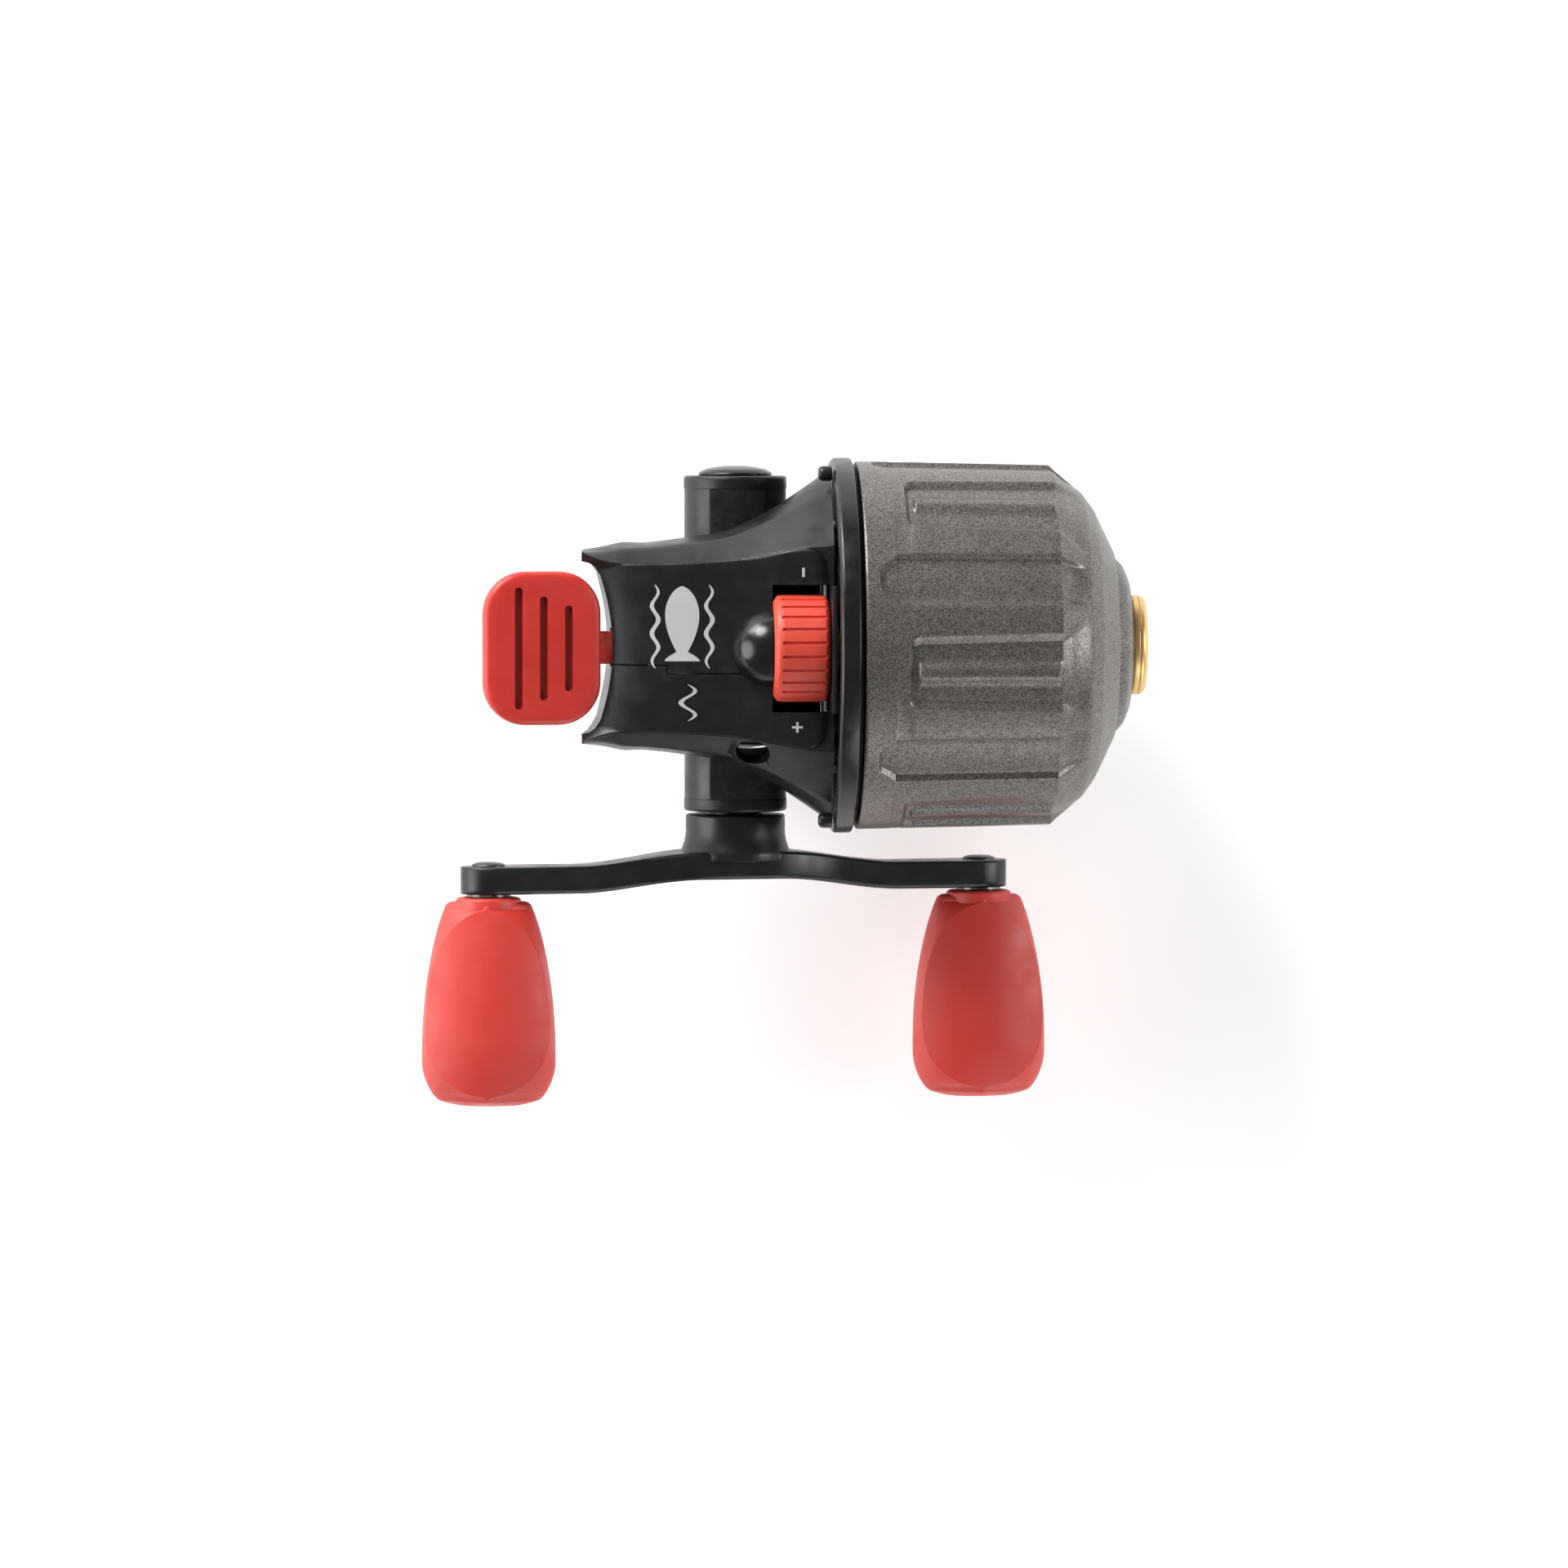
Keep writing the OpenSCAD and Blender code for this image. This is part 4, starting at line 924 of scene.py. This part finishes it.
# barrel on the pivot pin, and the toe that pushes the shaft
lever_bm = bmesh.new()
lathe(lever_bm, rounded([(-2.8, 1.25), (-2.8, 2.5), (2.8, 2.5), (2.8, 1.25)], [0.3] * 4, 3), "Y",
      (PIVOT_X, 0, PIVOT_Z), 64)
lever_barrel = piece("button_barrel", lever_bm)
toe_bm = bmesh.new()
toe_rings = []
for i, z in enumerate(span(PIVOT_Z - 1.8, AXIS_Z, 14)):
    t = i / 13
    hw, hx = lerp(2.5, 2.2, t), lerp(1.5, 1.3, t)
    toe_rings.append([(p[0], p[1], z) for p in rounded(
        [(PIVOT_X - hx, -hw), (PIVOT_X + hx, -hw), (PIVOT_X + hx, hw), (PIVOT_X - hx, hw)],
        [0.4] * 4, 4)])
loft(toe_bm, toe_rings)
lathe(toe_bm, rounded([(-2.2, 0.01), (-2.2, 1.55), (2.2, 1.55), (2.2, 0.01)], [0.25] * 4, 3), "Y",
      (PIVOT_X, 0, AXIS_Z), 48)
toe = piece("button_toe", toe_bm)
for o in (neck, lever_barrel, toe):
    place(o, M_RED, "button", "red_plastic")


# ---------------- handle
def bend(x): return 2.2 * smooth((abs(x) - 6.5) / 22)


def stations(half_len, r, n, inset, count):
    """Stations along a bar, close together over its round ends."""
    end = [half_len - r * (1 - math.cos(math.pi / 2 * i / (n - 1))) - inset for i in range(n)]
    mid = half_len - r - 0.6
    return sorted(set([-x for x in end] + span(-mid, mid, count) + end))


def to_handle(o):
    """Turns a piece made along X about the origin into the handle's resting place."""
    o.data.transform(Matrix.Translation(Vector((CRANK_X, 0, CRANK_Z)) * MM)
                     @ Matrix.Rotation(HANDLE_ANGLE, 4, "Y"))
    return o


ARM_IN, ARM_OUT, ARM_END_R = -35.7, -40.45, 4.8


def build_arm():
    """Flat bar with round ends, bent away from the body and widest at the hub."""
    rings = []
    for x in stations(ARM_R + ARM_END_R, ARM_END_R, 10, 0.03, 60):
        ax = abs(x)
        if ax > ARM_R:
            hw = math.sqrt(max(0.0004, ARM_END_R ** 2 - (ax - ARM_R) ** 2))
        else:
            hw = (ARM_END_R + 2.6 * (1 - smooth((ax - 4) / 15))
                  + 0.2 * math.cos(ax / ARM_R * math.pi) ** 2)
            hw = min(hw, 7.4) - 0.35 * math.sin(math.pi * min(1, ax / ARM_R)) ** 2
        y_in, y_out = ARM_IN - bend(x), ARM_OUT - bend(x)
        r = min(0.9, hw * 0.4)
        pts = rounded([(y_in, hw), (y_out, hw), (y_out, -hw), (y_in, -hw)],
                      [r * 0.7, r, r, r * 0.7], 5)
        rings.append([(x, p[0], p[1]) for p in pts])
    return skin("arm", rings, math.radians(40))


arm_piece = build_arm()
hub_bm = bmesh.new()
lathe(hub_bm, rounded([(-28.3, 3.05), (-28.3, 4.7), (-29.4, 4.7), (-29.4, 8.6), (-33.4, 8.6),
                       (-36.0, 9.5), (-37.2, 9.5), (-37.2, 3.05)],
                      [0.2, 0.3, 0.1, 0.5, 1.4, 0.3, 0.1, 0.1], 5), "Y", (0, 0, 0), 128)
hub_piece = piece("hub", hub_bm)
to_handle(arm_piece)
to_handle(hub_piece)
cut(arm_piece, hub_piece, op="UNION")
cut(arm_piece, to_handle(rod_piece("t", "Y", (0, 0, 0), -44, -38, 4.1, 64)))
finish_mesh(arm_piece.data, math.radians(38))
arm_piece.name = "handle_arm_painted"
place(arm_piece, M_HANDLE, "crank", "handle_paint", "handle_arm")

rivets = bmesh.new()
for s in (-1, 1):
    x = s * ARM_R
    y = ARM_IN - bend(x)
    outline = [(y - 33, 0), (y - 33, 2.0), (y - 0.4, 2.0), (y - 0.4, 2.9), (y + 0.35, 2.9),
               (y + 0.7, 1.9), (y + 0.75, 0)]
    lathe(rivets, rounded(outline, [0.1, 0.2, 0.1, 0.1, 0.3, 0.4, 0.05], 4), "Y", (x, 0, 0), 48)
bmesh.ops.dissolve_degenerate(rivets, edges=rivets.edges, dist=1e-6)
posts = to_handle(piece("knob_rivets", rivets))
place(posts, M_DARK_STEEL, "crank", "dark_steel", "knob_posts")


# ---------------- knobs
def knob_half_width(t):
    """Half-width at the share t of the way from the collar to the far end."""
    if t < 0.8:
        return 6.9 + 4.65 * math.sin(math.pi / 2 * (t / 0.8) ** 0.74)
    return 11.55 - 2.6 * ((t - 0.8) / 0.2) ** 2


def knob_half_depth(t):
    if t < 0.7:
        return 5.6 + 2.6 * math.sin(math.pi / 2 * t / 0.7)
    return 8.2 - 1.7 * ((t - 0.7) / 0.3) ** 2


def knob_section(t):
    """Quarter outline: a bowed broad face that ends on a crease, then a rounded flank."""
    w, d = knob_half_width(t), knob_half_depth(t)
    mid, reach, bow = 0.505, 0.465, 0.031
    oval = max(0.0, 1 - abs((t - mid) / reach) ** 3.0) ** 0.42
    xe = max(0.25, 0.945 * w * oval)
    face_end = d - bow * xe * xe
    face = [(x, d - bow * x * x) for x in span(0, xe - 0.12, 12)]
    flank = []
    for q in span(0, 1, 12):
        a, b, c = (1 - q) ** 2, 2 * q * (1 - q), q * q
        flank.append((a * xe + (b + c) * w, a * face_end + b * face_end * 0.42))
    flank[0] = (xe - 0.02, face_end - 0.05)
    return face + flank


KNOB_CREASE = math.radians(16)


def build_knob(name, centre, turn):
    """Soft paddle with an oval bowed face on both broad sides and a collar at its inner end."""
    top, length = KNOB_TOP - 0.75, KNOB_TOP - 0.75 - KNOB_END
    dome = 1.0
    rings = []

    def add(t, y, scale_w=0.0):
        """Ring at the share t, pulled in by scale_w millimetres, at height y."""
        quarter = knob_section(t)
        w, d = quarter[-1][0], quarter[0][1]
        fx, fz = (w - scale_w) / w, (d - scale_w) / d
        quarter = [(x * fx, z * fz) for x, z in quarter]
        half = quarter[::-1] + [(-x, z) for x, z in quarter[1:]]
        full = half + [(x, -z) for x, z in half[-2:0:-1]]
        rings.append([(x, y, z) for x, z in full])

    add(0.0, top, 1.1)
    for a in span(0, math.pi / 2, 6):
        add(0.004 + 0.022 * (1 - math.cos(a)), top - 0.8 * (1 - math.cos(a)),
            0.8 * (1 - math.sin(a)))
    for t in span(0.034, 0.955, 62):
        add(t, top - t * (length - dome))
    for a in span(0, math.pi / 2, 6)[1:]:
        t = 0.955 + 0.045 * math.sin(a)
        add(t, top - t * (length - dome), 0.5 * (1 - math.cos(a)))
    for k in range(1, 9):
        q = k / 9
        add(1.0, KNOB_END + dome * (1 - q) ** 2, 0.5 + 5.6 * q)
    o = skin(name, rings, KNOB_CREASE)
    collar = bmesh.new()
    lathe(collar, rounded([(top - 1.5, 2.2), (top - 1.5, 5.6), (KNOB_TOP - 0.35, 5.6),
                           (KNOB_TOP - 0.02, 5.1), (KNOB_TOP - 0.02, 4.2),
                           (KNOB_TOP - 0.5, 4.0), (KNOB_TOP - 0.5, 2.2)], [0.1, 0.2] + [0.25] * 3
                          + [0.1, 0.1], 4), "Y", (0, 0, 0), 96)
    cut(o, piece("t", collar), op="UNION")
    cut(o, rod_piece("t", "Y", (0, 0, 0), KNOB_END + 7, KNOB_TOP + 1, 2.05, 48))
    finish_mesh(o.data, KNOB_CREASE)
    o.data.transform(Matrix.Translation(Vector((centre[0], 0, centre[2])) * MM)
                     @ Matrix.Rotation(math.radians(turn), 4, "Y"))
    return o


for name, centre, turn, body_name, node in (
        ("rear_paddle", REAR_KNOB, -4, "rear_knob", "knob_rear"),
        ("front_paddle", FRONT_KNOB, 4, "front_knob", "knob_front")):
    place(build_knob(name, centre, turn), M_RUBBER, body_name, "red_rubber", node)


# ---------------- foot
def build_foot():
    """Thin plate with tapered round toes, and the flared stem up to the belly."""
    half_len, half_w = FOOT_LEN / 2, FOOT_W / 2
    rings = []
    for x in stations(half_len, half_w, 11, 0.02, 40):
        e = half_len - abs(x)
        hw = half_w if e > half_w else math.sqrt(max(0.003, half_w ** 2 - (half_w - e) ** 2))
        top = lerp(1.15, 2.6, smooth(e / 16))
        pts = rounded([(hw, 0), (hw, top), (-hw, top), (-hw, 0)], [0.25, 0.5, 0.5, 0.25], 4)
        rings.append([(x, p[0], p[1]) for p in pts])
    plate = skin("foot_plate", rings, math.radians(40))
    rings = []
    for i, z in enumerate(span(1.2, BELLY, 24)):
        t = i / 23
        flare = (1 - smooth(t / 0.32))
        xr, xf = -12 - 3.2 * flare, 4 + 5.5 * flare
        hw = 4.0 + 1.9 * flare
        pts = rounded([(xr, -hw), (xf, -hw), (xf, hw), (xr, hw)], [2.2] * 4, 6)
        rings.append([(p[0], p[1], z) for p in pts])
    cut(plate, skin("stem", rings), op="UNION")
    for x in (-10, -5):
        cut(plate, rod_piece("t", "Z", (x, 0, 0), -1, 1.6, 2.2, 48))
    soften(plate, 0.15, 50, 2)
    plate.name = "reel_foot"
    return plate


place(build_foot(), M_FOOT, "frame", "foot_metal", "foot")


# ---------------- spool's line
def build_line():
    """Wound line: rows of turns with a slight cross wind."""
    x0, x1 = lo("line_pack")[0] + 0.02, hi("line_pack")[0] - 0.02
    r0, r1 = 10.0, hi("line_pack")[1] - 0.5
    turns, per = 30, 5
    outline = [(x0, r0), (x0, r1)]
    for i in range(turns * per):
        x = lerp(x0, x1, (i + 0.5) / (turns * per))
        ph = (i + 0.5) / per % 1.0
        outline.append((x, r1 + 0.35 * math.sin(math.pi * (x - x0) / (x1 - x0))
                        + 0.12 * abs(math.sin(math.pi * ph))))
    outline += [(x1, r1), (x1, r0)]
    bm = bmesh.new()
    lathe(bm, outline, "X", (0, 0, AXIS_Z), 96)
    return piece("wound_line", bm, math.radians(50))


place(build_line(), M_LINE, "spool", "line", "line_pack")


# ---------------- coil springs
def helix(name, x0, x1, r, wire, turns, centre_z, segs=22, sides=10):
    """Round wire of radius wire, wound at radius r between x0 and x1."""
    rings = []
    n = int(turns * segs)
    for i in range(n + 1):
        t = i / n
        a = 2 * math.pi * turns * t
        c = Vector((lerp(x0 + wire, x1 - wire, t), r * math.sin(a), centre_z + r * math.cos(a)))
        radial = Vector((0, math.sin(a), math.cos(a)))
        rings.append([c + radial * wire * math.cos(b) + Vector((1, 0, 0)) * wire * math.sin(b)
                      for b in [2 * math.pi * k / sides for k in range(sides)]])
    return skin(name, rings)


WIRE_R = 0.25


def coil_spring(name, node, r, turns, centre_z, body):
    """Coil of round wire wound along the length of the node's part."""
    x0, x1 = lo(node)[0], hi(node)[0]
    coil = helix(name, x0, x1, r, WIRE_R, turns, centre_z)
    place(coil, M_STEEL, body, "steel", node)
    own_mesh(coil)


coil_spring("shaft_spring", "return_spring", 2.05, 7, AXIS_Z, "pinion")
coil_spring("drag_spring_coil", "drag_spring", 2.5, 2, DRAG_Z, "frame")


# ---------------- stage, light and camera
FLOOR_HALF = 3000


def stage():
    """Wide pale floor just under the foot."""
    bm = bmesh.new()
    for y in (-FLOOR_HALF, FLOOR_HALF):
        for x in (-FLOOR_HALF, FLOOR_HALF):
            bm.verts.new((x, y, -0.02))
    v = list(bm.verts)
    bm.faces.new((v[0], v[1], v[3], v[2]))
    floor = piece("floor", bm)
    m = bpy.data.materials.new("floor_paper")
    m.use_nodes = True
    sh = m.node_tree.nodes["Principled BSDF"]
    sh.inputs["Base Color"].default_value = (0.97, 0.97, 0.97, 1)
    sh.inputs["Roughness"].default_value = 0.9
    sh.inputs["Specular IOR Level"].default_value = 0.1
    sh.inputs["Emission Color"].default_value = (1, 1, 1, 1)
    sh.inputs["Emission Strength"].default_value = 0.3
    floor.data.materials.append(m)


stage()


def area_light(name, where, aim, size, power, colour=(1, 1, 1)):
    li = bpy.data.lights.new(name, "AREA")
    li.shape, li.size, li.energy, li.color = "DISK", size, power, colour
    o = bpy.data.objects.new(name, li)
    bpy.context.scene.collection.objects.link(o)
    o.location = where
    o.rotation_euler = (Vector(aim) - Vector(where)).to_track_quat("-Z", "Y").to_euler()
    return o


focus = (0, -0.015, 0.03)
area_light("key", (-0.5, 0.85, 0.5), focus, 0.5, 10)
area_light("rim", (-0.75, 0.95, 0.16), focus, 0.6, 9)
area_light("side", (-1.0, -0.05, 0.3), focus, 0.8, 8)
area_light("fill", (0.45, -0.95, 0.55), focus, 0.7, 4.5)
area_light("right", (1.0, 0.1, 0.55), focus, 0.5, 5)
world = bpy.data.worlds.new("studio")
bpy.context.scene.world = world
world.use_nodes = True
world.node_tree.nodes["Background"].inputs["Color"].default_value = (1, 1, 1, 1)
world.node_tree.nodes["Background"].inputs["Strength"].default_value = 0.2

SENSOR, FRAME_MM, DISTANCE = 36.0, 268.8, 1500.0
TARGET = Vector((-1.88, -23.52, 48.0))
LEAN = Vector((-0.054, 0.05, 1.0)).normalized()
cam_data = bpy.data.cameras.new("camera")
cam_data.sensor_width = SENSOR
cam_data.lens = SENSOR * DISTANCE / FRAME_MM
cam_data.clip_end = 20
cam = bpy.data.objects.new("camera", cam_data)
bpy.context.scene.collection.objects.link(cam)
x_axis = Vector((0, 1, 0)).cross(LEAN).normalized()
turn = Matrix((x_axis, LEAN.cross(x_axis), LEAN)).transposed().to_4x4()
cam.matrix_world = Matrix.Translation((TARGET + LEAN * DISTANCE) * MM) @ turn
bpy.context.scene.camera = cam
bpy.context.scene.view_settings.view_transform = "Standard"
